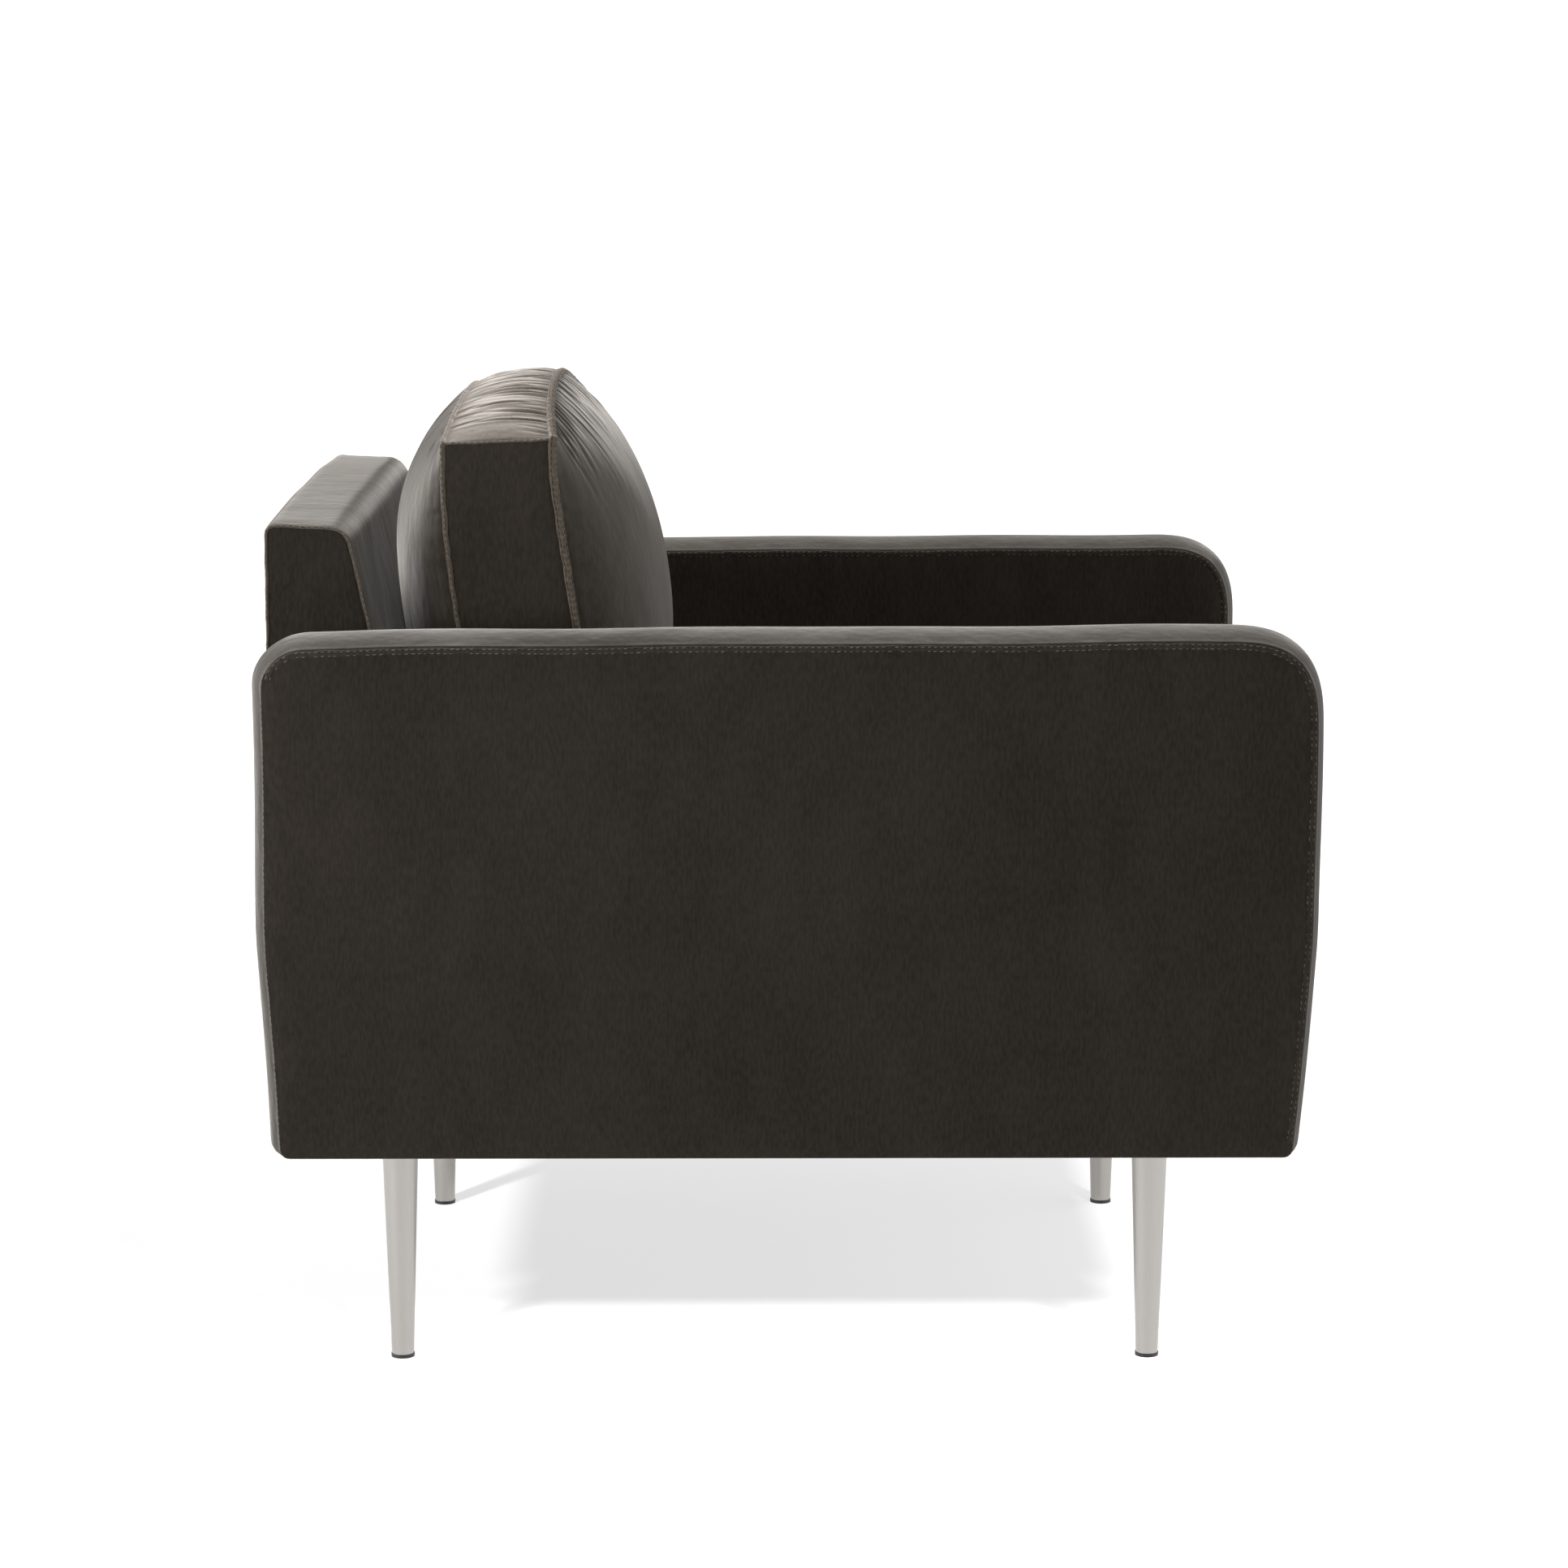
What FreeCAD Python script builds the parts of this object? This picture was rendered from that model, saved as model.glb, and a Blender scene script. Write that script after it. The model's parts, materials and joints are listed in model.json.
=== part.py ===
"""An upholstered armchair with two loose cushions.

The chair faces -Y, with its sitter's right arm on -X. The origin is on the floor, under the chair's middle.
"""

import FreeCAD, Part
import math
import os
import Sketcher
from FreeCAD import Rotation, Vector

SIZES = (
    # outside of the chair
    ("overall_width", 806, "over the outer faces of both arms"),
    ("overall_depth", 878, "over the front and rear edges of an arm"),
    ("arm_height", 641, "floor to the top of an arm"),
    ("back_height", 727, "floor to the top of the upholstered back frame"),
    ("total_height", 828, "floor to the top of the back cushion"),
    ("body_bottom", 207, "floor to the underside of the body"),
    # coverings and paddings
    ("cover_thickness", 1.5, "velvet with its backing"),
    ("part_gap", 0.3, "between faces of pieces that move apart"),
    # arms
    ("arm_thickness", 98, "inner face to outer face of an arm"),
    ("arm_front_radius", 56, "front top corner of an arm"),
    ("arm_rear_radius", 42, "rear top corner of an arm"),
    ("arm_foot_radius", 9, "bottom corners of an arm"),
    ("arm_front_taper", 15, "how far the front edge draws in at the bottom"),
    ("arm_rear_taper", 9, "how far the rear edge draws in at the bottom"),
    ("arm_taper_height", 180, "height over which those edges draw in"),
    ("arm_side_foam", 8, "foam outside the boards of an arm"),
    ("arm_top_foam", 20, "foam on the top rail of an arm"),
    ("arm_end_foam", 28, "foam in front of and behind the posts of an arm"),
    ("board_thickness", 3, "fibreboard on both sides of an arm frame"),
    ("post_depth", 45, "front and rear posts of an arm, front to back"),
    ("arm_rail_height", 25, "top and bottom rails of an arm"),
    # base
    ("rail_height", 76, "base rails"),
    ("rail_thickness", 18, "base rails"),
    ("bearer_width", 90, "cross bearers that carry the legs"),
    ("bearer_thickness", 30, "cross bearers that carry the legs"),
    ("dust_cover_thickness", 1, "non-woven cloth under the base"),
    ("front_inset", 8, "front rail cover behind the arms' front edges"),
    ("front_foam", 12, "foam on the front rail"),
    # seat deck
    ("spring_count", 5, "sinuous springs"),
    ("spring_wire", 3.6, "spring wire diameter"),
    ("spring_width", 46, "spring, side to side"),
    ("spring_pitch", 24, "distance between two runs of a spring"),
    ("spring_end", 9, "rail face to the first run of a spring"),
    ("clip_height", 6, "spring clips above the rail"),
    ("clip_length", 22, "spring clips, along the wire"),
    ("clip_depth", 10, "spring clips, across the wire"),
    ("felt_thickness", 9, "felt pad on the springs"),
    ("cloth_thickness", 1, "deck cloth on the felt"),
    # back
    ("back_inset", 5, "outside back in front of the arms' rear edges"),
    ("back_top_depth", 71, "back frame with its covers, front to back at the top"),
    ("back_rake", 12, "lean of the inside back, degrees"),
    ("back_corner_radius", 20, "front top corner of the back"),
    ("back_front_foam", 20, "foam on the inside back"),
    ("back_top_foam", 18, "foam on the top rail of the back"),
    ("back_wadding", 6, "wadding on the outside back"),
    ("stile_thickness", 22, "side to side"),
    ("back_rail_height", 30, "top and bottom rails of the back"),
    ("back_rail_depth", 30, "top and bottom rails of the back, front to back"),
    ("strap_thickness", 2, "webbing"),
    ("strap_width", 60, "webbing"),
    ("strap_count", 4, "webbing straps"),
    # legs
    ("leg_inset_side", 43.5, "leg centre to the inner face of the arm above it"),
    ("leg_inset_front", 130.2, "front leg centres behind the front of the arms"),
    ("leg_inset_rear", 108.8, "rear leg centres in front of the rear of the arms"),
    ("leg_top_diameter", 32, "leg at the body"),
    ("leg_foot_diameter", 19, "leg at the glide"),
    ("glide_diameter", 20, "glide under a leg"),
    ("glide_height", 3, "glide under a leg"),
    ("glide_spigot", 9, "spigot of a glide, its diameter"),
    ("glide_spigot_length", 12, "spigot of a glide inside the leg"),
    ("stud_diameter", 8, "threaded stud in a leg"),
    ("stud_in_leg", 22, "length of the stud in the leg"),
    ("stud_in_bearer", 26, "length of the stud above the leg"),
    ("plate_side", 50, "square plate above a leg"),
    ("plate_thickness", 2.5, "square plate above a leg"),
    ("screw_spacing", 36, "between screws of a leg plate"),
    ("screw_diameter", 4, "shank of a plate screw"),
    ("screw_head", 8, "countersunk head of a plate screw"),
    ("screw_length", 20, "plate screw"),
    # arm bolts
    ("bolt_diameter", 8, "shank of an arm bolt"),
    ("bolt_head_diameter", 18, "head of an arm bolt"),
    ("bolt_head_height", 4, "head of an arm bolt"),
    ("bolt_in_post", 40, "length of an arm bolt in the post"),
    ("bolt_rail_gap", 2, "between a bolt's head and the front or rear rail"),
    # cushions
    ("seat_cushion_height", 137, "at its crown"),
    ("seat_cushion_clearance", 3, "between the seat cushion and an arm"),
    ("seat_cushion_radius", 24, "long edges of the seat cushion"),
    ("seat_front_overhang", 2, "seat cushion in front of the front rail cover"),
    ("back_cushion_depth", 226, "front to back at its fullest"),
    ("back_cushion_clearance", 6, "between the back cushion and an arm"),
    ("back_cushion_radius", 68, "edges of its front and rear panels"),
    ("back_cushion_lean", 8.5, "degrees"),
    # zips
    ("zip_length", 460, "zip of a cushion"),
    ("zip_width", 16, "tape of a zip"),
    ("zip_recess", 7, "depth of the zip below the cover"),
    ("tape_thickness", 1.5, "tape of a zip"),
    ("teeth_width", 5, "teeth of a zip"),
    ("teeth_height", 1.5, "teeth of a zip"),
    ("slider_length", 12, "zip slider along the zip"),
    ("slider_width", 9, "zip slider across the zip"),
    ("slider_height", 2.6, "zip slider body"),
    ("pull_length", 20, "pull tab of a zip slider"),
    ("pull_width", 6, "pull tab of a zip slider"),
    ("pull_thickness", 1, "pull tab of a zip slider"),
)

doc = FreeCAD.newDocument("armchair")
sheet = doc.addObject("Spreadsheet::Sheet", "sizes")
parts = []


class Size:
    """A dimension: its number, and the expression that ties it to the sheet."""

    def __init__(self, text, number):
        self.text = text
        self.number = number

    def joined(self, sign, other, number, turned=False):
        pair = (other.text, self.text) if turned else (self.text, other.text)
        return Size(f"({pair[0]} {sign} {pair[1]})", number)

    def __add__(self, other):
        other = size(other)
        return self.joined("+", other, self.number + other.number)

    def __sub__(self, other):
        other = size(other)
        return self.joined("-", other, self.number - other.number)

    def __rsub__(self, other):
        other = size(other)
        return self.joined("-", other, other.number - self.number, turned=True)

    def __mul__(self, other):
        other = size(other)
        return self.joined("*", other, self.number * other.number)

    def __truediv__(self, other):
        other = size(other)
        return self.joined("/", other, self.number / other.number)

    def __neg__(self):
        return Size(f"(-1 * {self.text})", -self.number)

    __radd__ = __add__
    __rmul__ = __mul__


def size(value):
    """The same dimension as a Size, whether it came as one or as a plain number."""
    if isinstance(value, Size):
        return value
    return Size(f"{value:g}", value)


def tangent(angle):
    return Size(f"tan({angle.text} * 1 deg)", math.tan(math.radians(angle.number)))


def cosine(angle):
    return Size(f"cos({angle.text} * 1 deg)", math.cos(math.radians(angle.number)))


def sine(angle):
    return Size(f"sin({angle.text} * 1 deg)", math.sin(math.radians(angle.number)))


def fill_sheet():
    """Write the driving dimensions, and return them by name."""
    found = {}
    for row, (name, number, meaning) in enumerate(SIZES, 1):
        sheet.set(f"A{row}", meaning)
        sheet.set(f"B{row}", str(number))
        sheet.setAlias(f"B{row}", name)
        found[name] = Size(f"sizes.{name}", number)
    doc.recompute()
    return found


S = fill_sheet()
LEFT, RIGHT = 1, -1

# planes that several pieces share
SIDE = S["overall_width"] / 2
ARM_INNER = SIDE - S["arm_thickness"]
ARM_FRONT = S["overall_depth"] / -2
ARM_REAR = S["overall_depth"] / 2
COVER = S["cover_thickness"]
BOTTOM = S["body_bottom"]
RAIL_BOTTOM = BOTTOM + S["dust_cover_thickness"]
RAIL_TOP = RAIL_BOTTOM + S["rail_height"]
FELT_BOTTOM = RAIL_TOP + S["clip_height"]
CLOTH_BOTTOM = FELT_BOTTOM + S["felt_thickness"]
DECK = CLOTH_BOTTOM + S["cloth_thickness"]
RAIL_COVER_FRONT = ARM_FRONT + S["front_inset"]
RAIL_FRONT = RAIL_COVER_FRONT + COVER + S["front_foam"]
BACK_REAR = ARM_REAR - S["back_inset"]
RAIL_REAR = BACK_REAR - COVER - S["back_wadding"]
SEAT_TOP = DECK + S["part_gap"] + S["seat_cushion_height"]


# ---------------------------------------------------------------- helpers


def bind(thing, field, value):
    thing.setExpression(field, size(value).text)


def place(thing, x=0, y=0, z=0):
    """Set where a thing stands, each coordinate tied to the sheet."""
    for axis, value in zip("xyz", (x, y, z)):
        bind(thing, f".Placement.Base.{axis}", value)
    return thing


def keep(thing, name):
    """Record a finished sub-part under the name it is written with."""
    thing.Label = name
    parts.append(thing)
    return thing


def span(side, near, far):
    """The low and high ends of a stretch from near to far on one side of the middle."""
    return (near, far) if side > 0 else (-far, -near)


def box(name, x, y, z):
    """A block; x, y and z are each a low face and a high face."""
    block = doc.addObject("Part::Box", name)
    for field, (low, high) in zip(("Length", "Width", "Height"), (x, y, z)):
        bind(block, field, size(high) - low)
    return place(block, x[0], y[0], z[0])


def rod(name, diameter, length, x=0, y=0, z=0, along="z"):
    """A cylinder from a start point along +X or +Z."""
    cylinder = doc.addObject("Part::Cylinder", name)
    bind(cylinder, "Radius", diameter / 2)
    bind(cylinder, "Height", length)
    if along == "x":
        cylinder.Placement.Rotation = Rotation(Vector(0, 1, 0), 90)
    return place(cylinder, x, y, z)


def cut(name, base, tool):
    result = doc.addObject("Part::Cut", name)
    result.Base = base
    result.Tool = tool
    return result


def fuse(name, base, tool):
    result = doc.addObject("Part::Fuse", name)
    result.Base = base
    result.Tool = tool
    return result


def group(name, things):
    """Separate solids that share one name."""
    result = doc.addObject("Part::Compound", name)
    result.Links = things
    return result


def outline(body, name, role, corners, offset=0):
    """A closed sketch of straight lines on one of the body's own planes, each corner tied to the sheet."""
    sketch = body.newObject("Sketcher::SketchObject", name)
    plane = next(f for f in body.Origin.OriginFeatures if f.Role == role)
    sketch.AttachmentSupport = (plane, [""])
    sketch.MapMode = "FlatFace"
    bind(sketch, "AttachmentOffset.Base.z", offset)
    corners = [(size(a), size(b)) for a, b in corners]
    points = [Vector(a.number, b.number, 0) for a, b in corners]
    count = len(points)
    for i in range(count):
        sketch.addGeometry(Part.LineSegment(points[i], points[(i + 1) % count]), False)
    for i in range(count):
        sketch.addConstraint(Sketcher.Constraint("Coincident", i, 2, (i + 1) % count, 1))
    for i, corner in enumerate(corners):
        for kind, value in zip(("DistanceX", "DistanceY"), corner):
            row = sketch.addConstraint(Sketcher.Constraint(kind, -1, 1, i, 1, value.number))
            bind(sketch, f"Constraints[{row}]", value)
    return sketch


def extrusion(name, corners, x, rounds=()):
    """A body padded along X from a Y-Z outline; rounds gives (corner index, radius) for its long edges."""
    body = doc.addObject("PartDesign::Body", name)
    sketch = outline(body, f"{name}_outline", "YZ_Plane", corners, x[0])
    pad = body.newObject("PartDesign::Pad", f"{name}_pad")
    pad.Profile = sketch
    bind(pad, "Length", size(x[1]) - x[0])
    doc.recompute()
    last = pad
    for index, radius in rounds:
        last = rounded(body, last, [edge_at(last.Shape, corners[index])], radius)
    return body


def edge_at(shape, corner):
    """The name of the edge along X nearest to a Y-Z corner."""
    y, z = (size(value).number for value in corner)
    apart = {}
    for number, edge in enumerate(shape.Edges, 1):
        ends = [vertex.Point for vertex in edge.Vertexes]
        if len(ends) == 2 and abs(ends[0].x - ends[1].x) > edge.Length / 2:
            apart[f"Edge{number}"] = math.hypot(ends[0].y - y, ends[0].z - z)
    return min(apart, key=apart.get)


def rounded(body, base, edges, radius):
    fillet = body.newObject("PartDesign::Fillet", f"{base.Name}_round")
    fillet.Base = (base, edges)
    bind(fillet, "Radius", radius)
    doc.recompute()
    return fillet


def turned(name, profile):
    """A body turned about Z from a closed half section of (radius, height) corners."""
    body = doc.addObject("PartDesign::Body", name)
    sketch = outline(body, f"{name}_section", "XZ_Plane", profile)
    turn = body.newObject("PartDesign::Revolution", f"{name}_turn")
    turn.Profile = sketch
    turn.ReferenceAxis = (sketch, ["V_Axis"])
    turn.Angle = 360
    return body


# ---------------------------------------------------------------- legs

LEG_TOP = RAIL_BOTTOM
LEG_FOOT = S["glide_height"]
LEG_ROWS = {
    "front": ARM_FRONT + S["leg_inset_front"],
    "rear": ARM_REAR - S["leg_inset_rear"],
}


def leg_centres():
    """Each leg's name, with the place of its axis."""
    for row, y in LEG_ROWS.items():
        for side, side_name in ((LEFT, "left"), (RIGHT, "right")):
            yield f"{row}_{side_name}", (ARM_INNER - S["leg_inset_side"]) * side, y


def leg(corner, x, y):
    """A tapered leg, bored at the top for its stud and at the foot for its glide."""
    stud = S["stud_diameter"] / 2
    spigot = S["glide_spigot"] / 2
    stud_end = LEG_TOP - S["stud_in_leg"]
    spigot_end = LEG_FOOT + S["glide_spigot_length"]
    section = [
        (spigot, LEG_FOOT),
        (S["leg_foot_diameter"] / 2, LEG_FOOT),
        (S["leg_top_diameter"] / 2, LEG_TOP),
        (stud, LEG_TOP),
        (stud, stud_end),
        (0, stud_end),
        (0, spigot_end),
        (spigot, spigot_end),
    ]
    name = f"{corner}_leg"
    keep(place(turned(name, section), x, y), name)


def glide(corner, x, y):
    """A plastic foot whose spigot fills the bore of the leg."""
    spigot = S["glide_spigot"] / 2
    rim = S["glide_diameter"] / 2
    tip = LEG_FOOT + S["glide_spigot_length"]
    section = [(0, 0), (rim, 0), (rim, LEG_FOOT), (spigot, LEG_FOOT), (spigot, tip), (0, tip)]
    return place(turned(f"{corner}_glide", section), x, y)


def stud(corner, x, y):
    length = S["stud_in_leg"] + S["stud_in_bearer"]
    return rod(f"{corner}_stud", S["stud_diameter"], length, x, y, LEG_TOP - S["stud_in_leg"])


def screw(name, x, y):
    """A countersunk screw, its flat head flush with the underside of the plate."""
    head = S["screw_head"] / 2
    shank = S["screw_diameter"] / 2
    tip = S["screw_length"]
    neck = head - shank
    section = [(0, 0), (head, 0), (shank, neck), (shank, tip), (0, tip)]
    return place(turned(name, section), x, y, RAIL_BOTTOM)


def plate_screws(corner, x, y):
    reach = S["screw_spacing"] / 2
    return [
        screw(f"{corner}_screw_{a}_{b}", x + reach * dx, y + reach * dy)
        for a, dx in enumerate((-1, 1))
        for b, dy in enumerate((-1, 1))
    ]


def plate(corner, x, y, holes):
    half = S["plate_side"] / 2
    top = RAIL_BOTTOM + S["plate_thickness"]
    blank = box(f"{corner}_plate_blank", (x - half, x + half), (y - half, y + half), (RAIL_BOTTOM, top))
    return cut(f"{corner}_plate", blank, holes)


def bearer(name, middle, holes):
    """A board across the base that carries two legs, with holes for their studs and screws."""
    half = S["bearer_width"] / 2
    low = RAIL_BOTTOM + S["plate_thickness"]
    inner = ARM_INNER - S["rail_thickness"]
    z = (low, low + S["bearer_thickness"])
    blank = box(f"{name}_blank", (-inner, inner), (middle - half, middle + half), z)
    keep(cut(name, blank, holes), name)


def legs():
    glides, studs, screws, plates = [], [], [], []
    fixings = {row: [] for row in LEG_ROWS}
    for corner, x, y in leg_centres():
        leg(corner, x, y)
        glides.append(glide(corner, x, y))
        studs.append(stud(corner, x, y))
        own = plate_screws(corner, x, y)
        screws.extend(own)
        holes = group(f"{corner}_holes", [studs[-1], *own])
        plates.append(plate(corner, x, y, holes))
        fixings[corner.split("_")[0]].append(holes)
    for row, y in LEG_ROWS.items():
        bearer(f"{row}_leg_bearer", y, group(f"{row}_bearer_holes", fixings[row]))
    keep(group("leg_glides", glides), "leg_glides")
    keep(group("leg_studs", studs), "leg_studs")
    keep(group("leg_plates", plates), "leg_plates")
    keep(group("leg_plate_screws", screws), "leg_plate_screws")


# ---------------------------------------------------------------- arms

ARM_TOP = S["arm_height"]
POST_FRONT = ARM_FRONT + S["arm_end_foam"]
POST_REAR = ARM_REAR - S["arm_end_foam"]
ARM_FRAME_TOP = ARM_TOP - COVER - S["arm_top_foam"]
ARM_FRAME_BOTTOM = BOTTOM + COVER
BOARD_INNER = ARM_INNER + COVER + S["arm_side_foam"]
BOARD_OUTER = SIDE - COVER - S["arm_side_foam"]
POST_X = (BOARD_INNER + S["board_thickness"], BOARD_OUTER - S["board_thickness"])


def arm_outline(inset):
    """The side view of an arm, drawn in on all sides by inset."""
    low = BOTTOM + inset
    high = ARM_TOP - inset
    knee = BOTTOM + S["arm_taper_height"]
    front = ARM_FRONT + inset
    rear = ARM_REAR - inset
    return [
        (front + S["arm_front_taper"], low),
        (front, knee),
        (front, high),
        (rear, high),
        (rear, knee),
        (rear - S["arm_rear_taper"], low),
    ]


def arm_blank(name, x, inset):
    """A slab with the side view of an arm and its rounded corners."""
    rounds = (
        (0, S["arm_foot_radius"] - inset),
        (2, S["arm_front_radius"] - inset),
        (3, S["arm_rear_radius"] - inset),
        (5, S["arm_foot_radius"] - inset),
    )
    return extrusion(name, arm_outline(inset), x, rounds)


def bolt(name, side, y):
    """An arm bolt: its head is on the inside of the base rail and its shank ends in the arm's post."""
    z = (RAIL_BOTTOM + RAIL_TOP) / 2
    rail_inner = ARM_INNER - S["rail_thickness"]
    shank_x = span(side, rail_inner, POST_X[0] + S["bolt_in_post"])
    head_x = span(side, rail_inner - S["bolt_head_height"], rail_inner)
    shank = rod(f"{name}_shank", S["bolt_diameter"], shank_x[1] - shank_x[0], shank_x[0], y, z, "x")
    head = rod(f"{name}_head", S["bolt_head_diameter"], S["bolt_head_height"], head_x[0], y, z, "x")
    return fuse(name, shank, head)


def arm_bolts(side, side_name):
    """The bolts of one arm, one into each post, clear of the front and rear rails."""
    reach = S["rail_thickness"] + S["bolt_head_diameter"] / 2 + S["bolt_rail_gap"]
    return [
        bolt(f"{side_name}_arm_front_bolt", side, RAIL_FRONT + reach),
        bolt(f"{side_name}_arm_rear_bolt", side, RAIL_REAR - reach),
    ]


def arm_frame(side, arm, bolts):
    """Two posts with a top rail over them and a bottom rail between them, boarded on both sides."""
    x = span(side, *POST_X)
    depth = S["post_depth"]
    rail = S["arm_rail_height"]
    under_top = ARM_FRAME_TOP - rail
    posts = (("front_post", (POST_FRONT, POST_FRONT + depth)), ("rear_post", (POST_REAR - depth, POST_REAR)))
    for post, y in posts:
        name = f"{arm}_{post}"
        keep(cut(name, box(f"{name}_blank", x, y, (ARM_FRAME_BOTTOM, under_top)), bolts), name)
    keep(box(f"{arm}_top_rail", x, (POST_FRONT, POST_REAR), (under_top, ARM_FRAME_TOP)), f"{arm}_top_rail")
    inside = (POST_FRONT + depth, POST_REAR - depth)
    low = (ARM_FRAME_BOTTOM, ARM_FRAME_BOTTOM + rail)
    keep(box(f"{arm}_bottom_rail", x, inside, low), f"{arm}_bottom_rail")
    boards = (("inner_board", (BOARD_INNER, POST_X[0])), ("outer_board", (POST_X[1], BOARD_OUTER)))
    for board, reach in boards:
        name = f"{arm}_{board}"
        faces = (span(side, *reach), (POST_FRONT, POST_REAR), (ARM_FRAME_BOTTOM, ARM_FRAME_TOP))
        keep(cut(name, box(f"{name}_blank", *faces), bolts), name)


def arm_foam(side, arm, bolts):
    """Foam all round the arm's frame except underneath."""
    name = f"{arm}_foam"
    blank = arm_blank(f"{name}_blank", span(side, ARM_INNER + COVER, SIDE - COVER), COVER)
    hollow = box(
        f"{name}_hollow",
        span(side, BOARD_INNER, BOARD_OUTER),
        (POST_FRONT, POST_REAR),
        (BOTTOM, ARM_FRAME_TOP),
    )
    keep(cut(name, cut(f"{name}_shell", blank, hollow), bolts), name)


def arm_covers(side, arm, bolts):
    """A flat panel on each side, and a boxing strip round the edge between them."""
    outer = f"{arm}_outer_cover"
    keep(arm_blank(outer, span(side, SIDE - COVER, SIDE), size(0)), outer)
    inner = f"{arm}_inner_cover"
    blank = arm_blank(f"{inner}_blank", span(side, ARM_INNER, ARM_INNER + COVER), size(0))
    keep(cut(inner, blank, bolts), inner)
    boxing = f"{arm}_boxing"
    between = span(side, ARM_INNER + COVER, SIDE - COVER)
    solid = arm_blank(f"{boxing}_blank", between, size(0))
    hollow = arm_blank(f"{boxing}_hollow", between, COVER)
    keep(cut(boxing, solid, hollow), boxing)


def arms():
    """Both arms, and the bolts that hold them to the base; returns each side's bolts."""
    holes = {}
    for side, side_name in ((LEFT, "left"), (RIGHT, "right")):
        bolts = arm_bolts(side, side_name)
        holes[side] = group(f"{side_name}_bolt_holes", bolts)
        arm = f"{side_name}_arm"
        arm_frame(side, arm, holes[side])
        arm_foam(side, arm, holes[side])
        arm_covers(side, arm, holes[side])
    keep(group("arm_bolts", [bolt for side in holes for bolt in holes[side].Links]), "arm_bolts")
    return holes


# ---------------------------------------------------------------- base and deck


def base(holes):
    """Four rails on edge, butted at the corners."""
    z = (RAIL_BOTTOM, RAIL_TOP)
    thick = S["rail_thickness"]
    inner = ARM_INNER - thick
    for side, side_name in ((LEFT, "left"), (RIGHT, "right")):
        name = f"base_{side_name}_rail"
        blank = box(f"{name}_blank", span(side, inner, ARM_INNER), (RAIL_FRONT, RAIL_REAR), z)
        keep(cut(name, blank, holes[side]), name)
    keep(box("base_front_rail", (-inner, inner), (RAIL_FRONT, RAIL_FRONT + thick), z), "base_front_rail")
    keep(box("base_rear_rail", (-inner, inner), (RAIL_REAR - thick, RAIL_REAR), z), "base_rear_rail")


def dust_cover():
    """Cloth under the base, with a hole round each leg."""
    blank = box("dust_cover_blank", (-ARM_INNER, ARM_INNER), (RAIL_FRONT, RAIL_REAR), (BOTTOM, RAIL_BOTTOM))
    wide = S["leg_top_diameter"] + 2 * S["part_gap"]
    deep = S["dust_cover_thickness"]
    holes = [rod(f"{corner}_dust_hole", wide, deep, x, y, BOTTOM) for corner, x, y in leg_centres()]
    keep(cut("dust_cover", blank, group("dust_cover_holes", holes)), "dust_cover")


def front_rail_covering():
    """Foam and cover that turn from the front of the rail over its top."""
    x = (-ARM_INNER, ARM_INNER)
    foam_face = RAIL_COVER_FRONT + COVER
    foam_corners = [
        (foam_face, BOTTOM + COVER),
        (foam_face, DECK - COVER),
        (RAIL_FRONT, DECK - COVER),
        (RAIL_FRONT, BOTTOM + COVER),
    ]
    rim = S["front_foam"] - COVER
    keep(extrusion("front_rail_foam", foam_corners, x, ((1, rim / 2),)), "front_rail_foam")
    cover_corners = [
        (RAIL_COVER_FRONT, BOTTOM),
        (RAIL_COVER_FRONT, DECK),
        (RAIL_FRONT, DECK),
        (RAIL_FRONT, DECK - COVER),
        (foam_face, DECK - COVER),
        (foam_face, BOTTOM + COVER),
        (RAIL_FRONT, BOTTOM + COVER),
        (RAIL_FRONT, BOTTOM),
    ]
    rounds = ((1, rim / 2 + COVER), (4, rim / 2))
    keep(extrusion("front_rail_cover", cover_corners, x, rounds), "front_rail_cover")


def spring_ends():
    """The first and last runs of a spring, front to back: a whole number of pitches, centred on the base."""
    first = RAIL_FRONT + S["spring_end"]
    last = RAIL_REAR - S["spring_end"]
    pitch = S["spring_pitch"].number
    runs = int((last.number - first.number) // pitch)
    runs -= runs % 2
    slack = (last.number - first.number - runs * pitch) / 2
    return first.number, last.number, runs, slack


def spring_places():
    """The middle of each spring, side to side, evenly spread between the side rails."""
    count = round(S["spring_count"].number)
    room = 2 * (ARM_INNER.number - S["rail_thickness"].number)
    return [room * ((i + 0.5) / count - 0.5) for i in range(count)]


def spring_wire(x):
    """One sinuous spring: straight runs across, joined by half circles, with a longer first and last step."""
    first, last, runs, slack = spring_ends()
    pitch = S["spring_pitch"].number
    half = S["spring_width"].number / 2 - pitch / 2
    z = RAIL_TOP.number + S["spring_wire"].number / 2
    edges = []
    side = 1
    y = first + slack
    start = Vector(x - half, y, z)
    for run in range(runs + 1):
        end = Vector(x + side * half, y, z)
        edges.append(Part.LineSegment(start, end).toShape())
        if run < runs:
            middle = Vector(x + side * (half + pitch / 2), y + pitch / 2, z)
            start = Vector(x + side * half, y + pitch, z)
            edges.append(Part.Arc(end, middle, start).toShape())
        side = -side
        y += pitch
    path = Part.Wire(edges)
    radius = S["spring_wire"].number / 2
    ring = Part.makeCircle(radius, Vector(x - half, first + slack, z), Vector(1, 0, 0))
    return path.makePipeShell([Part.Wire([ring])], True, True)


def springs():
    shape = doc.addObject("Part::Feature", "seat_springs")
    shape.Shape = Part.makeCompound([spring_wire(x) for x in spring_places()])
    keep(shape, "seat_springs")


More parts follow.
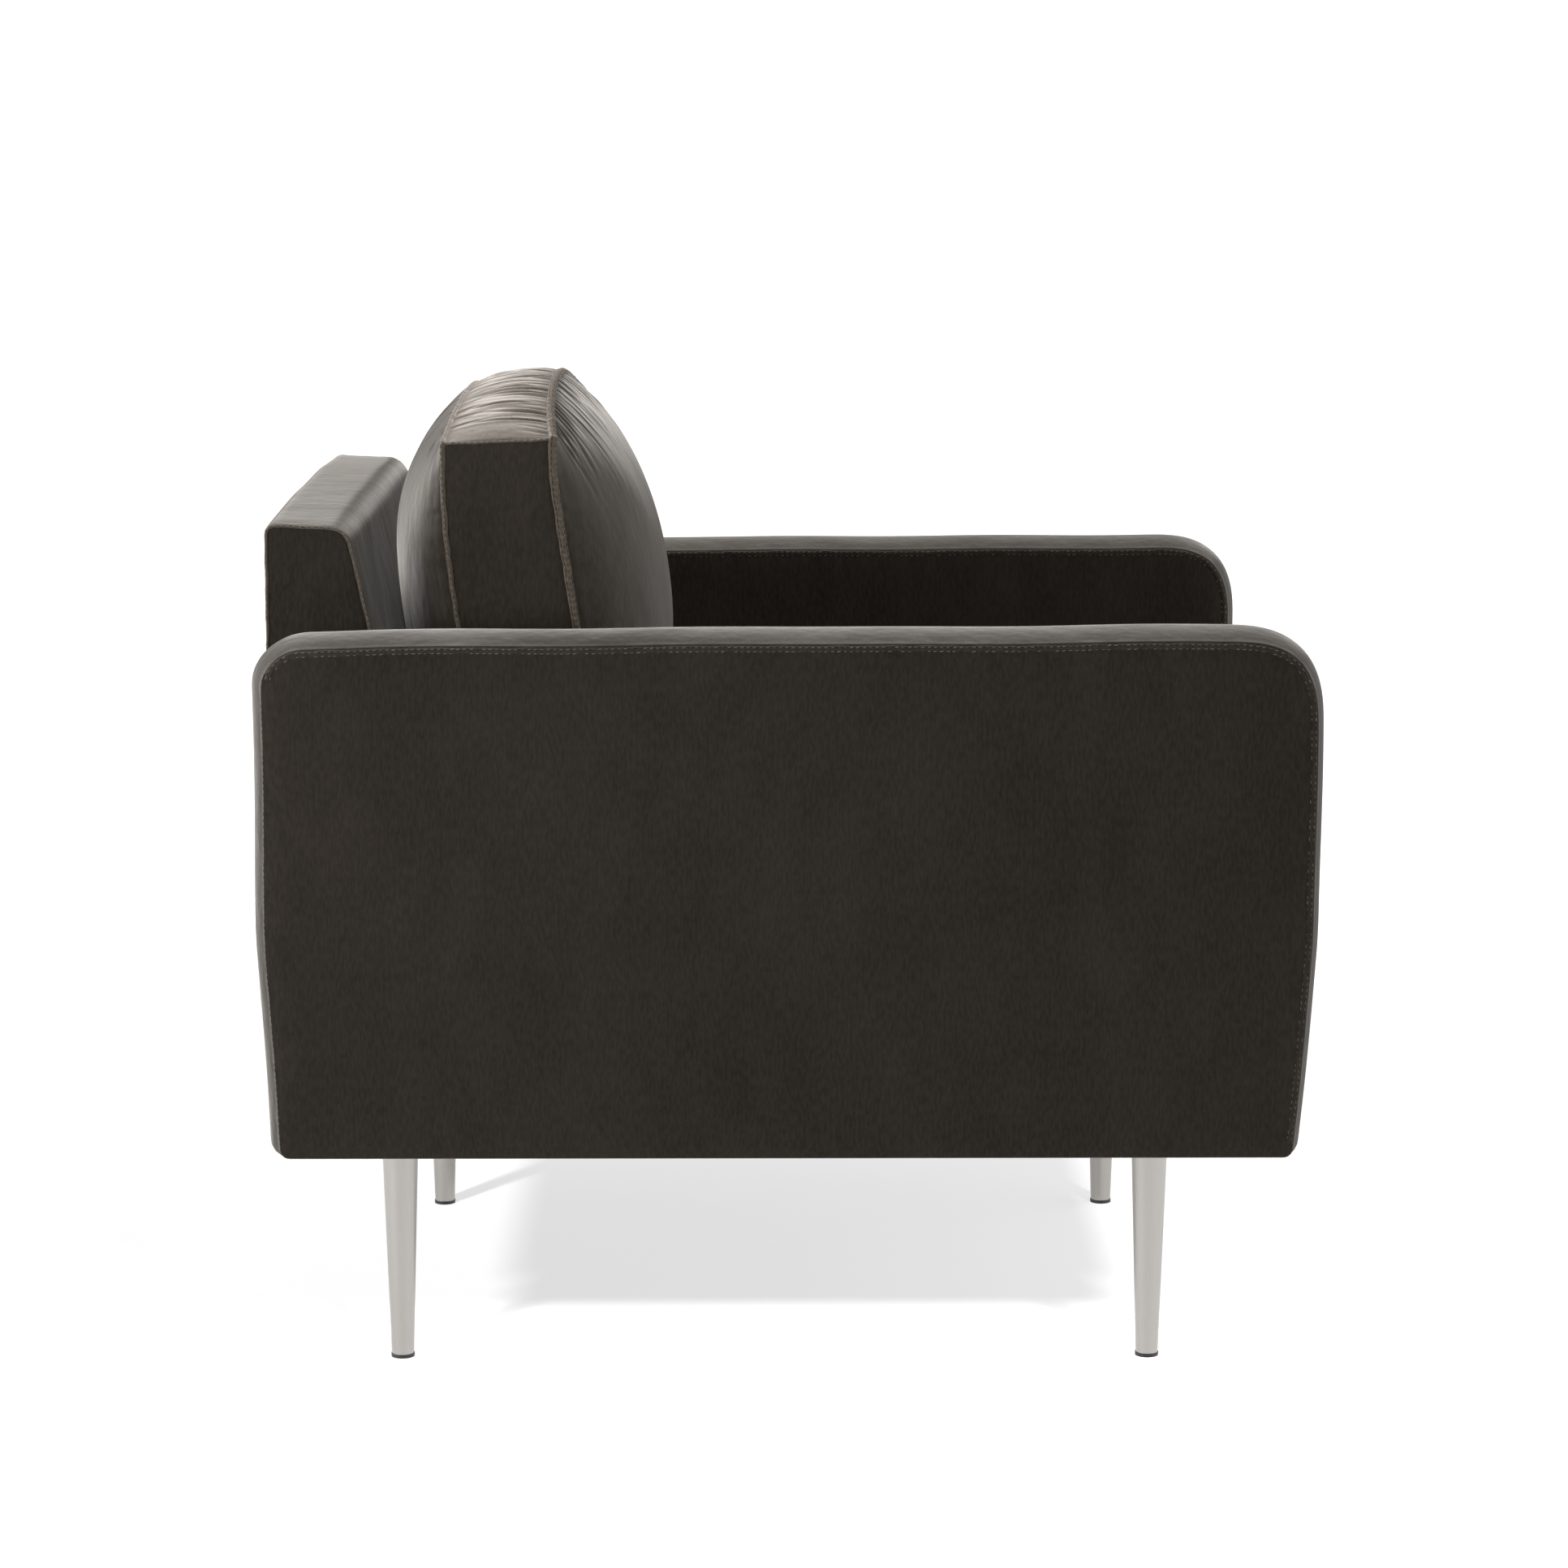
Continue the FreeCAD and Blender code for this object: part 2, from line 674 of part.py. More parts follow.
def clips():
    """Clips that hold both ends of every spring down on the rails."""
    first, last, _, slack = spring_ends()
    long, deep = S["clip_length"], S["clip_depth"]
    groove = S["spring_wire"] + 2 * S["part_gap"]
    found = []
    for number, x in enumerate(spring_places()):
        for end, y in (("front", first + slack), ("rear", last - slack)):
            name = f"clip_{end}_{number}"
            ends = (x - long / 2, x + long / 2)
            blank = box(f"{name}_blank", ends, (y - deep / 2, y + deep / 2), (RAIL_TOP, FELT_BOTTOM))
            across = (y - groove / 2, y + groove / 2)
            channel = box(f"{name}_channel", ends, across, (RAIL_TOP, RAIL_TOP + groove))
            found.append(cut(name, blank, channel))
    keep(group("spring_clips", found), "spring_clips")


def deck():
    """Felt over the springs, and the cloth that the seat cushion rests on."""
    x = (-ARM_INNER, ARM_INNER)
    y = (RAIL_FRONT, inside_back(DECK))
    keep(box("seat_felt", x, y, (FELT_BOTTOM, CLOTH_BOTTOM)), "seat_felt")
    keep(box("deck_cloth", x, y, (CLOTH_BOTTOM, DECK)), "deck_cloth")


# ---------------------------------------------------------------- back

BACK_TOP = S["back_height"]
BACK_SLOPE = tangent(S["back_rake"])


def inside_back(z, inset=0):
    """Where the face of the inside back is at a height, or a layer inset behind it."""
    face = BACK_REAR - S["back_top_depth"] - (BACK_TOP - z) * BACK_SLOPE
    return face + size(inset) / cosine(S["back_rake"])


def back_outline(rear_inset, front_inset, top_inset, low=DECK):
    """The side view of the back above low, drawn in on its rear, front and top."""
    top = BACK_TOP - top_inset
    rear = BACK_REAR - rear_inset
    return [
        (inside_back(low, front_inset), low),
        (inside_back(top, front_inset), top),
        (rear, top),
        (rear, low),
    ]


BACK_SKIN = (size(0), size(0), size(0))
BACK_FOAM = (COVER, COVER, COVER)
BACK_FRAME = (
    COVER + S["back_wadding"],
    COVER + S["back_front_foam"],
    COVER + S["back_top_foam"],
)


def back_frame():
    """Two stiles with raked fronts, joined by rails, with webbing across their fronts."""
    stile = S["stile_thickness"]
    outer = ARM_INNER - COVER
    for side, side_name in ((LEFT, "left"), (RIGHT, "right")):
        name = f"back_{side_name}_stile"
        corners = back_outline(*BACK_FRAME, low=RAIL_TOP)
        keep(extrusion(name, corners, span(side, outer - stile, outer)), name)
    x = (stile - outer, outer - stile)
    y = (RAIL_REAR - S["back_rail_depth"], RAIL_REAR)
    top = BACK_TOP - BACK_FRAME[2]
    high = (top - S["back_rail_height"], top)
    low = (DECK, DECK + S["back_rail_height"])
    keep(box("back_top_rail", x, y, high), "back_top_rail")
    keep(box("back_bottom_rail", x, y, low), "back_bottom_rail")


def webbing():
    """Straps across the fronts of the stiles, evenly spread up the back."""
    count = round(S["strap_count"].number)
    outer = ARM_INNER - COVER
    thick = S["strap_thickness"]
    straps = []
    for number in range(count):
        share = (number + 1) / (count + 1)
        z = DECK + (BACK_TOP - S["back_top_foam"] - DECK) * share
        strap = doc.addObject("Part::Box", f"strap_{number}")
        bind(strap, "Length", outer * 2)
        bind(strap, "Width", thick)
        bind(strap, "Height", S["strap_width"])
        strap.Placement.Rotation = Rotation(Vector(1, 0, 0), 1)
        bind(strap, ".Placement.Rotation.Angle", -S["back_rake"])
        low = z - S["strap_width"] / 2
        place(strap, -outer, inside_back(low, BACK_FRAME[1] - thick), low)
        straps.append(strap)
    keep(group("back_webbing", straps), "back_webbing")


def back_foam():
    """Foam on the front and top of the back frame, and wadding behind it."""
    outer = ARM_INNER - COVER
    x = (-outer, outer)
    rounds = ((1, S["back_corner_radius"] - COVER),)
    blank = extrusion("back_foam_blank", back_outline(*BACK_FOAM), x, rounds)
    rear, front, top = BACK_FRAME
    corners = back_outline(rear, front - S["strap_thickness"], top)
    hollow = extrusion("back_foam_hollow", corners, x)
    keep(cut("back_foam", blank, hollow), "back_foam")


def back_covers():
    """The inside back over the front and top, the outside back, and a gusset at each end."""
    outer = ARM_INNER - COVER
    shell = back_outline(*BACK_SKIN)
    inner = back_outline(*BACK_FOAM)
    rear_top = (BACK_REAR, BACK_TOP - COVER)
    corners = [shell[0], shell[1], shell[2], rear_top, inner[1], inner[0]]
    radius = S["back_corner_radius"]
    rounds = ((1, radius), (4, radius - COVER))
    keep(extrusion("back_inside_cover", corners, (-ARM_INNER, ARM_INNER), rounds), "back_inside_cover")
    rear = (BACK_REAR - COVER, BACK_REAR)
    faces = ((-ARM_INNER, ARM_INNER), rear, (BOTTOM, BACK_TOP - COVER))
    keep(box("back_outside_cover", *faces), "back_outside_cover")
    for side, side_name in ((LEFT, "left"), (RIGHT, "right")):
        name = f"back_{side_name}_gusset"
        keep(extrusion(name, inner, span(side, outer, ARM_INNER), ((1, radius - COVER),)), name)


# ---------------------------------------------------------------- cushions

# Each cushion is made about its own middle, then placed. Its zip lies in a recess of one face.


def pillow(name, wide, deep, high, radius, panels):
    """A block with the edges of its two crowned panels rounded; panels is the axis they face along."""
    x, y, z = wide / 2, deep / 2, high / 2
    corners = [(-y, -z), (y, -z), (y, z), (-y, z)]
    body = doc.addObject("PartDesign::Body", name)
    sketch = outline(body, f"{name}_outline", "YZ_Plane", corners, -x)
    pad = body.newObject("PartDesign::Pad", f"{name}_pad")
    pad.Profile = sketch
    bind(pad, "Length", wide)
    doc.recompute()
    reach = {"y": y, "z": z}[panels].number
    edges = [
        f"Edge{number}"
        for number, edge in enumerate(pad.Shape.Edges, 1)
        if abs(abs(getattr(edge.CenterOfMass, panels)) - reach) < S["part_gap"].number
    ]
    rounded(body, pad, edges, radius)
    return body


def zip_pieces(name, face, centre, out):
    """A zip and its slider in a recess of a cushion; out is the axis that the recess opens along.

    face is where the recess opens, centre where the zip's middle is on the other axis; both are from
    the cushion's middle. Returns the recess, the zip and the slider.
    """
    sign, axis = out
    half = S["zip_length"] / 2

    def layer(piece, x, width, start, height):
        """A strip along the zip that rises from start above the recess's floor."""
        floor = face - S["zip_recess"] * sign
        low = floor + start * sign
        high = low + height * sign
        rise = (low, high) if sign > 0 else (high, low)
        across = (centre - width / 2, centre + width / 2)
        return box(piece, x, *((rise, across) if axis == "y" else (across, rise)))

    long = (-half, half)
    gap = S["part_gap"]
    tape = S["tape_thickness"]
    teeth = S["teeth_height"]
    recess = layer(f"{name}_recess", long, S["zip_width"], size(0), S["zip_recess"] * 2)
    strip = layer(f"{name}_tape", long, S["zip_width"], size(0), tape)
    ridge = layer(f"{name}_teeth", long, S["teeth_width"], tape, teeth)
    chain = fuse(name, strip, ridge)
    slider_start = gap - half
    slider_x = (slider_start, slider_start + S["slider_length"])
    shell = layer(f"{name}_slider_shell", slider_x, S["slider_width"], tape + gap, S["slider_height"])
    channel_width = S["teeth_width"] + 2 * gap
    channel = layer(f"{name}_slider_channel", slider_x, channel_width, tape, teeth + gap)
    runner = cut(f"{name}_slider_runner", shell, channel)
    pull_start = slider_start + S["slider_length"] / 4
    pull_x = (pull_start, pull_start + S["pull_length"])
    rise = tape + gap + S["slider_height"]
    pull = layer(f"{name}_slider_pull", pull_x, S["pull_width"], rise, S["pull_thickness"])
    return recess, chain, fuse(f"{name}_slider", runner, pull)


def cushion(name, sizes, panels, zip_at, where, lean):
    """A filling, the cover round it, and the zip with its slider."""
    wide, deep, high, radius = sizes
    recess, chain, slider = zip_pieces(f"{name}_zip", *zip_at)
    core_sizes = (wide - 2 * COVER, deep - 2 * COVER, high - 2 * COVER, radius - COVER)
    cover = cut(
        f"{name}_cover",
        cut(
            f"{name}_cover_shell",
            pillow(f"{name}_cover_blank", *sizes, panels),
            pillow(f"{name}_cover_hollow", *core_sizes, panels),
        ),
        recess,
    )
    filling = cut(f"{name}_filling", pillow(f"{name}_filling_blank", *core_sizes, panels), recess)
    named = ((filling, "filling"), (cover, "cover"), (chain, "zip"), (slider, "zip_slider"))
    for thing, kind in named:
        thing.Placement.Rotation = Rotation(Vector(1, 0, 0), 1)
        bind(thing, ".Placement.Rotation.Angle", -lean)
        keep(place(thing, 0, *where), f"{name}_{kind}")


def seat_cushion():
    """A box cushion that slides in between the arms, its zip across the rear boxing."""
    wide = (ARM_INNER - S["seat_cushion_clearance"]) * 2
    high = S["seat_cushion_height"]
    front = RAIL_COVER_FRONT - S["seat_front_overhang"]
    rear = inside_back(DECK) - S["part_gap"]
    deep = rear - front
    middle = (rear + front) / 2
    sizes = (wide, deep, high, S["seat_cushion_radius"])
    where = (middle, DECK + S["part_gap"] + high / 2)
    cushion("seat_cushion", sizes, "z", (deep / 2, size(0), (1, "y")), where, size(0))


def back_cushion():
    """A thick box cushion that leans on the inside back, stands on the seat cushion and has its zip below."""
    wide = (ARM_INNER - S["back_cushion_clearance"]) * 2
    deep = S["back_cushion_depth"]
    radius = S["back_cushion_radius"]
    lean = S["back_cushion_lean"]
    low = SEAT_TOP + S["part_gap"]
    reach = (S["total_height"] - low) / 2
    flat = (reach - radius - (deep / 2 - radius) * sine(lean)) / cosine(lean)
    high = (flat + radius) * 2
    contact = low + radius
    rear = inside_back(contact) - S["part_gap"] - radius * sine(lean)
    middle_z = low + reach
    middle_y = rear + (middle_z - contact) * tangent(lean) - deep / 2 / cosine(lean)
    zip_at = (-high / 2, size(0), (-1, "z"))
    cushion("back_cushion", (wide, deep, high, radius), "y", zip_at, (middle_y, middle_z), lean)


# ---------------------------------------------------------------- the chair


def check():
    """Stop if any object failed, or any sub-part has no valid shape."""
    doc.recompute()
    for thing in doc.Objects:
        if "Invalid" in thing.State or "Error" in thing.State:
            raise RuntimeError(f"{thing.Label} did not compute")
    for thing in parts:
        if thing.Shape.isNull() or not thing.Shape.isValid() or not thing.Shape.Solids:
            raise RuntimeError(f"{thing.Label} has no valid shape")


def write():
    os.makedirs("parts", exist_ok=True)
    for thing in parts:
        thing.Shape.exportStep(f"parts/{thing.Label}.step")


legs()
base(arms())
dust_cover()
front_rail_covering()
springs()
clips()
deck()
back_frame()
webbing()
back_foam()
back_covers()
seat_cushion()
back_cushion()
check()
write()
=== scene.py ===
"""The looks of an upholstered armchair: velvet covers, loose cushions, stitched seams, satin metal legs."""

import json
import math

import bpy
import numpy as np
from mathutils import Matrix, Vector


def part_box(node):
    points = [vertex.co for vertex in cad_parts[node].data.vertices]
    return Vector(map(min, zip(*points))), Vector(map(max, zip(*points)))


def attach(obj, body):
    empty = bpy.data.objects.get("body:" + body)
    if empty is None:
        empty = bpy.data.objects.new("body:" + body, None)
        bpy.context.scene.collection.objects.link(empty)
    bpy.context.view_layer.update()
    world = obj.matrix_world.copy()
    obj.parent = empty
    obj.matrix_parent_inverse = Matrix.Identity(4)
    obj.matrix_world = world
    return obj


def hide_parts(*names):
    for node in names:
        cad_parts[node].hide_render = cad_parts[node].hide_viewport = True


MM = 0.001
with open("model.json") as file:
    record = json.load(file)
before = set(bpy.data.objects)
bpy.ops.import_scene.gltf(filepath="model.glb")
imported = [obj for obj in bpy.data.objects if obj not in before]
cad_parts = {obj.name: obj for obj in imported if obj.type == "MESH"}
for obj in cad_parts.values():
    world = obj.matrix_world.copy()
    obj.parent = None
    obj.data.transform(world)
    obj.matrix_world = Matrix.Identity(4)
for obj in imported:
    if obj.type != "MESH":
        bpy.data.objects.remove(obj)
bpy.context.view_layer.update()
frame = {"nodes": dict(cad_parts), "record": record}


# ---- materials


def new_material(name):
    """A material with its node tree, its shader and its object coordinates."""
    material = bpy.data.materials.new(name)
    material.use_nodes = True
    tree = material.node_tree
    shader = tree.nodes["Principled BSDF"]
    coordinates = tree.nodes.new("ShaderNodeTexCoord")
    return material, tree, shader, coordinates.outputs["Object"]


def set_inputs(node, values):
    """Sets a node's unlinked inputs by name."""
    for name, value in values.items():
        node.inputs[name].default_value = value


def noise(tree, vector, scale, detail=3.0, stretch=(1, 1, 1), roughness=0.5):
    """Noise with a scale per metre, stretched by a factor along each axis."""
    mapping = tree.nodes.new("ShaderNodeMapping")
    mapping.inputs["Scale"].default_value = stretch
    tree.links.new(vector, mapping.inputs["Vector"])
    texture = tree.nodes.new("ShaderNodeTexNoise")
    set_inputs(texture, {"Scale": scale, "Detail": detail, "Roughness": roughness})
    tree.links.new(mapping.outputs["Vector"], texture.inputs["Vector"])
    return texture.outputs["Fac"]


def ramp(tree, value, low, high, dark, light):
    """A colour that runs from dark to light as value goes from low to high."""
    node = tree.nodes.new("ShaderNodeValToRGB")
    node.color_ramp.elements[0].position = low
    node.color_ramp.elements[1].position = high
    node.color_ramp.elements[0].color = (*dark, 1)
    node.color_ramp.elements[1].color = (*light, 1)
    tree.links.new(value, node.inputs["Fac"])
    return node.outputs["Color"]


def mixed(tree, first, second, share):
    """Two colours mixed, with a fixed share of the second."""
    node = tree.nodes.new("ShaderNodeMix")
    node.data_type = "RGBA"
    node.inputs["Factor"].default_value = share
    tree.links.new(first, node.inputs["A"])
    tree.links.new(second, node.inputs["B"])
    return node.outputs["Result"]


def bumped(tree, shader, heights):
    """Chains bumps; heights holds (height, strength, depth in metres) for each."""
    last = None
    for height, strength, depth in heights:
        bump = tree.nodes.new("ShaderNodeBump")
        set_inputs(bump, {"Strength": strength, "Distance": depth})
        tree.links.new(height, bump.inputs["Height"])
        if last:
            tree.links.new(last, bump.inputs["Normal"])
        last = bump.outputs["Normal"]
    tree.links.new(last, shader.inputs["Normal"])


def scaled(colour, factor):
    return tuple(channel * factor for channel in colour)


def velvet(name, colour, sheen=1.0, blotch=0.24):
    """Short pile, bright at grazing angles; blotch is how far the nap's soft patches differ."""
    material, tree, shader, place = new_material(name)
    patches = noise(tree, place, 8, 4, (1, 1, 0.7), 0.6)
    strokes = noise(tree, place, 34, 5, (1, 1, 0.55), 0.62)
    weave = noise(tree, place, 420, 2, (1, 1, 0.3))
    pile = noise(tree, place, 1500, 2)
    base = ramp(tree, patches, 0.36, 0.64, scaled(colour, 1 - blotch), scaled(colour, 1 + blotch))
    brushed = ramp(tree, strokes, 0.36, 0.66, scaled(colour, 0.74), scaled(colour, 1.26))
    threads = ramp(tree, weave, 0.35, 0.65, scaled(colour, 0.6), scaled(colour, 1.38))
    nap = mixed(tree, base, brushed, 0.45)
    tree.links.new(mixed(tree, nap, threads, 0.42), shader.inputs["Base Color"])
    set_inputs(shader, {"Roughness": 0.92, "Specular IOR Level": 0.1})
    set_inputs(shader, {"Sheen Weight": sheen, "Sheen Roughness": 0.32, "Sheen Tint": SHEEN_TINT})
    bumped(tree, shader, [(patches, 0.4, 12 * MM), (strokes, 0.12, 3 * MM), (pile, 0.25, 0.5 * MM)])
    return material


def cloth(name, colour, weave=2200, sheen=0.2):
    """A plain woven or felted cloth."""
    material, tree, shader, place = new_material(name)
    fibres = noise(tree, place, weave, 3)
    patches = noise(tree, place, 14, 3)
    fine = ramp(tree, fibres, 0.25, 0.75, scaled(colour, 0.7), scaled(colour, 1.25))
    broad = ramp(tree, patches, 0.3, 0.7, scaled(colour, 0.85), scaled(colour, 1.1))
    tree.links.new(mixed(tree, fine, broad, 0.5), shader.inputs["Base Color"])
    set_inputs(shader, {"Roughness": 0.95, "Specular IOR Level": 0.15, "Sheen Weight": sheen})
    bumped(tree, shader, [(fibres, 0.5, 0.4 * MM)])
    return material


def brushed_metal(name, colour, roughness, along=(1, 1, 0.03)):
    """Satin metal with fine lines of the brush."""
    material, tree, shader, place = new_material(name)
    lines = noise(tree, place, 1600, 3, along, 0.6)
    clouds = noise(tree, place, 22, 2, (1, 1, 0.3))
    tint = ramp(tree, lines, 0.3, 0.7, scaled(colour, 0.93), scaled(colour, 1.04))
    soft = ramp(tree, clouds, 0.3, 0.7, scaled(colour, 0.97), colour)
    tree.links.new(mixed(tree, tint, soft, 0.4), shader.inputs["Base Color"])
    rough = tree.nodes.new("ShaderNodeMapRange")
    set_inputs(rough, {"To Min": roughness * 0.85, "To Max": roughness * 1.15})
    tree.links.new(lines, rough.inputs["Value"])
    tree.links.new(rough.outputs["Result"], shader.inputs["Roughness"])
    shader.inputs["Metallic"].default_value = 1.0
    bumped(tree, shader, [(lines, 0.08, 0.2 * MM)])
    return material


def moulded(name, colour, roughness):
    """Moulded plastic or nylon with a fine grain."""
    material, tree, shader, place = new_material(name)
    grain = noise(tree, place, 1800, 2)
    broad = noise(tree, place, 40, 2)
    tint = ramp(tree, broad, 0.3, 0.7, scaled(colour, 0.85), scaled(colour, 1.2))
    tree.links.new(tint, shader.inputs["Base Color"])
    shader.inputs["Roughness"].default_value = roughness
    bumped(tree, shader, [(grain, 0.2, 0.2 * MM)])
    return material


def timber(name, dark, light, stretch):
    """Planed wood or board, its grain drawn out along one axis."""
    material, tree, shader, place = new_material(name)
    grain = noise(tree, place, 90, 6, stretch, 0.6)
    pores = noise(tree, place, 900, 2, stretch)
    tree.links.new(ramp(tree, grain, 0.35, 0.65, dark, light), shader.inputs["Base Color"])
    shader.inputs["Roughness"].default_value = 0.62
    bumped(tree, shader, [(pores, 0.2, 0.3 * MM)])
    return material


SHEEN_TINT = (1.0, 0.95, 0.895, 1)
VELVET_COLOUR = (0.0262, 0.0214, 0.0166)
VELVET = velvet("velvet_pile", VELVET_COLOUR, 0.45, 0.34)
# Painted highlight, in part: the seam bands take a copy of the velvet a third lighter and with more sheen,
# standing in for the light their ridges catch.
BAND = velvet("seam_pile_painted_sheen", scaled(VELVET_COLOUR, 1.35), 0.6)
# Painted highlight: the raised cushion and back seams take a copy of the velvet nearly four times lighter,
# standing in for the sheen their ridges catch.
LIT_SEAM_VELVET = velvet("lit_seam_pile_painted_sheen", scaled(VELVET_COLOUR, 3.8), 0.8)
# Painted light: the loose cushions take a copy of the velvet a tenth lighter and with more sheen, so their
# panels look brighter than the arms.
PAINTED_LIGHT_CUSHION = velvet("painted_light_cushion_pile", scaled(VELVET_COLOUR, 1.1), 0.65, 0.36)
# Painted light: the back cushion's top strip takes a copy of the same velvet three times lighter, so that
# it looks lit from above.
PAINTED_LIGHT_GUSSET = velvet("gusset_painted_light_pile", scaled(VELVET_COLOUR, 3.0), 0.65, 0.12)
THREAD = cloth("sewing_thread", (0.17, 0.155, 0.135), 5000, 0.3)
NICKEL = brushed_metal("brushed_nickel", (0.39, 0.37, 0.35), 0.3)
RUBBER = moulded("black_glide", (0.012, 0.012, 0.012), 0.45)
FINISHES = {
    "brushed_nickel": NICKEL,
    "black_plastic": RUBBER,
    "zinc_steel": brushed_metal("zinc_plated", (0.55, 0.56, 0.57), 0.3, (1, 1, 1)),
    "spring_steel": brushed_metal("oiled_steel", (0.26, 0.26, 0.27), 0.35, (0.1, 1, 1)),
    "zip_nylon": moulded("zip_nylon", (0.018, 0.016, 0.014), 0.5),
    "fibreboard": timber("fibreboard", (0.20, 0.13, 0.08), (0.30, 0.21, 0.13), (1, 1, 1)),
    # Painted shade: the hardwood is made almost black so that, where it shows in the narrow gaps beside the
    # seat cushion, it reads as shade and not as pale wood.
    "hardwood": timber("dark_beech_painted_shade", (0.045, 0.031, 0.021), (0.075, 0.054, 0.037), (1, 0.08, 1)),
    "foam": cloth("cut_foam", (0.70, 0.64, 0.44), 700, 0),
    "felt": cloth("grey_felt", (0.24, 0.235, 0.225), 900),
    "deck_cloth": cloth("deck_cloth", (0.020, 0.018, 0.016)),
    "dust_cloth": cloth("dust_cloth", (0.010, 0.010, 0.010), 1300),
    "webbing": cloth("webbing", (0.50, 0.47, 0.41), 800),
    "velvet": VELVET,
}


def finish_cad_nodes():
    """Gives every carried-over CAD node the material of its slot."""
    for part in frame["record"]["subparts"]:
        node = frame["nodes"][part["node"]]
        for holder in node.material_slots:
            holder.material = FINISHES[part["material_slot"]]


# ---- meshes


def add_mesh(name, points, faces, material):
    mesh = bpy.data.meshes.new(name)
    mesh.from_pydata(np.asarray(points).tolist(), [], faces)
    mesh.validate()
    mesh.materials.append(material)
    mesh.polygons.foreach_set("use_smooth", [True] * len(mesh.polygons))
    piece = bpy.data.objects.new(name, mesh)
    bpy.context.scene.collection.objects.link(piece)
    return piece


def unit(vectors):
    length = np.linalg.norm(vectors, axis=-1, keepdims=True)
    return vectors / np.maximum(length, 1e-12)


def wave(place, lengths, seed):
    """A smooth random curve of unit height: a sum of sines of the given wavelengths."""
    rng = np.random.default_rng(seed)
    total = 0
    for length in lengths:
        total = total + np.sin(2 * np.pi * (place / length + rng.random()))
    return total / len(lengths)


def rounded_outline(corners, radii, spacing, fullness=None):
    """A closed Y-Z outline with a curve at each corner, as evenly spaced points.

    A corner's fullness is 2 for a circular arc; a higher one gives a tighter bend with longer run-ins.
    """
    fullness = fullness or [2] * len(corners)
    corners = [np.array(corner, float) for corner in corners]
    points = []
    count = len(corners)
    for i, (corner, radius, power) in enumerate(zip(corners, radii, fullness)):
        before = unit(corners[i - 1] - corner)
        after = unit(corners[(i + 1) % count] - corner)
        half = math.acos(np.clip(before @ after, -1, 1)) / 2
        reach = radius / math.tan(half)
        centre = corner + unit(before + after) * radius / math.sin(half)
        start = corner + before * reach - centre
        end = corner + after * reach - centre
        sweep = math.pi - 2 * half
        for step in np.linspace(0, 1, 25):
            a = max(0, math.sin((1 - step) * sweep) / math.sin(sweep)) ** (2 / power)
            b = max(0, math.sin(step * sweep) / math.sin(sweep)) ** (2 / power)
            points.append(centre + a * start + b * end)
    return evenly(np.array(points), spacing)


def evenly(points, spacing, closed=True):
    """The same line with points at an even spacing."""
    ring = np.vstack([points, points[:1]]) if closed else points
    run = distance_run(ring)
    count = max(3, round(run[-1] / spacing))
    at = np.linspace(0, run[-1], count + 1)
    if closed:
        at = at[:-1]
    return at_distance(at, run, ring)


def distance_run(path):
    """The distance run at each point of a path."""
    return np.concatenate([[0], np.cumsum(np.linalg.norm(np.diff(path, axis=0), axis=1))])


def at_distance(wanted, run, values):
    """Values given along a path, read at the wanted distances."""
    return np.stack([np.interp(wanted, run, column) for column in values.T], axis=1)


def resampled(places, normals):
    """A line on a surface at an even step, as (path, normals)."""
    path = evenly(places, PATH_STEP, closed=False)
    run = distance_run(places)
    return path, unit(at_distance(np.linspace(0, run[-1], len(path)), run, normals))


def border_of(grid):
    """The indices round the border of an index grid, in order."""
    return np.concatenate([grid[:, 0], grid[-1, 1:], grid[-2::-1, -1], grid[0, -2:0:-1]]).tolist()


def outward(ring):
    """Unit normals of a closed anticlockwise outline."""
    along = np.roll(ring, -1, axis=0) - np.roll(ring, 1, axis=0)
    return unit(np.stack([along[:, 1], -along[:, 0]], axis=1))


# ---- seams and stitches

BAND_WIDTH = 4.8 * MM
BAND_HEIGHT = 1.2 * MM
STITCH_PITCH = 5.2 * MM
STITCH_LENGTH = 3.2 * MM
STITCH_RADIUS = 0.34 * MM
BAND_SWELL = 0.16
BAND_WANDER = 0.3 * MM
PATH_STEP = 1.3 * MM

# Half of the ridge's section: share of the half width, and height as a share of the band's height.
FELLED = ((0.0, 0.9), (0.3, 1.0), (0.5, 0.75), (0.64, 0.3), (0.78, 0.62), (0.9, 0.45), (1.0, -0.6))
WELT = ((0.0, 1.0), (0.35, 0.92), (0.65, 0.6), (0.88, 0.0), (1.0, -0.6))


def frame_along(path, normals):
    """Distance run, direction and sideways direction at each point of a path on a surface."""
    along = unit(np.gradient(path, axis=0))
    side = unit(np.cross(normals, along))
    return distance_run(path), along, side


def seam_band(path, normals, width, height, section, rope, seed):
    """Points and faces of a low ridge along a path on a surface, nipped in at every stitch."""
    run, along, side = frame_along(path, normals)
    across = np.array([-share for share, _ in section[:0:-1]] + [share for share, _ in section])
    level = np.array([rise for _, rise in section[:0:-1]] + [rise for _, rise in section])
    swell = 1 + BAND_SWELL * wave(run, (11 * MM, 17 * MM, 29 * MM), seed)
    swell = swell + rope * np.cos(2 * np.pi * run / STITCH_PITCH)
    wander = BAND_WANDER * wave(run, (23 * MM, 41 * MM), seed + 50)
    rows = (
        path[:, None, :]
        + side[:, None, :] * (across[None, :, None] * width / 2 + wander[:, None, None])
        + normals[:, None, :] * (level[None, :, None] * height * swell[:, None, None])
    )
    faces = []
    columns = len(across)
    for i in range(len(path) - 1):
        for j in range(columns - 1):
            a = i * columns + j
            faces.append((a, a + 1, a + columns + 1, a + columns))
    return rows.reshape(-1, 3), faces


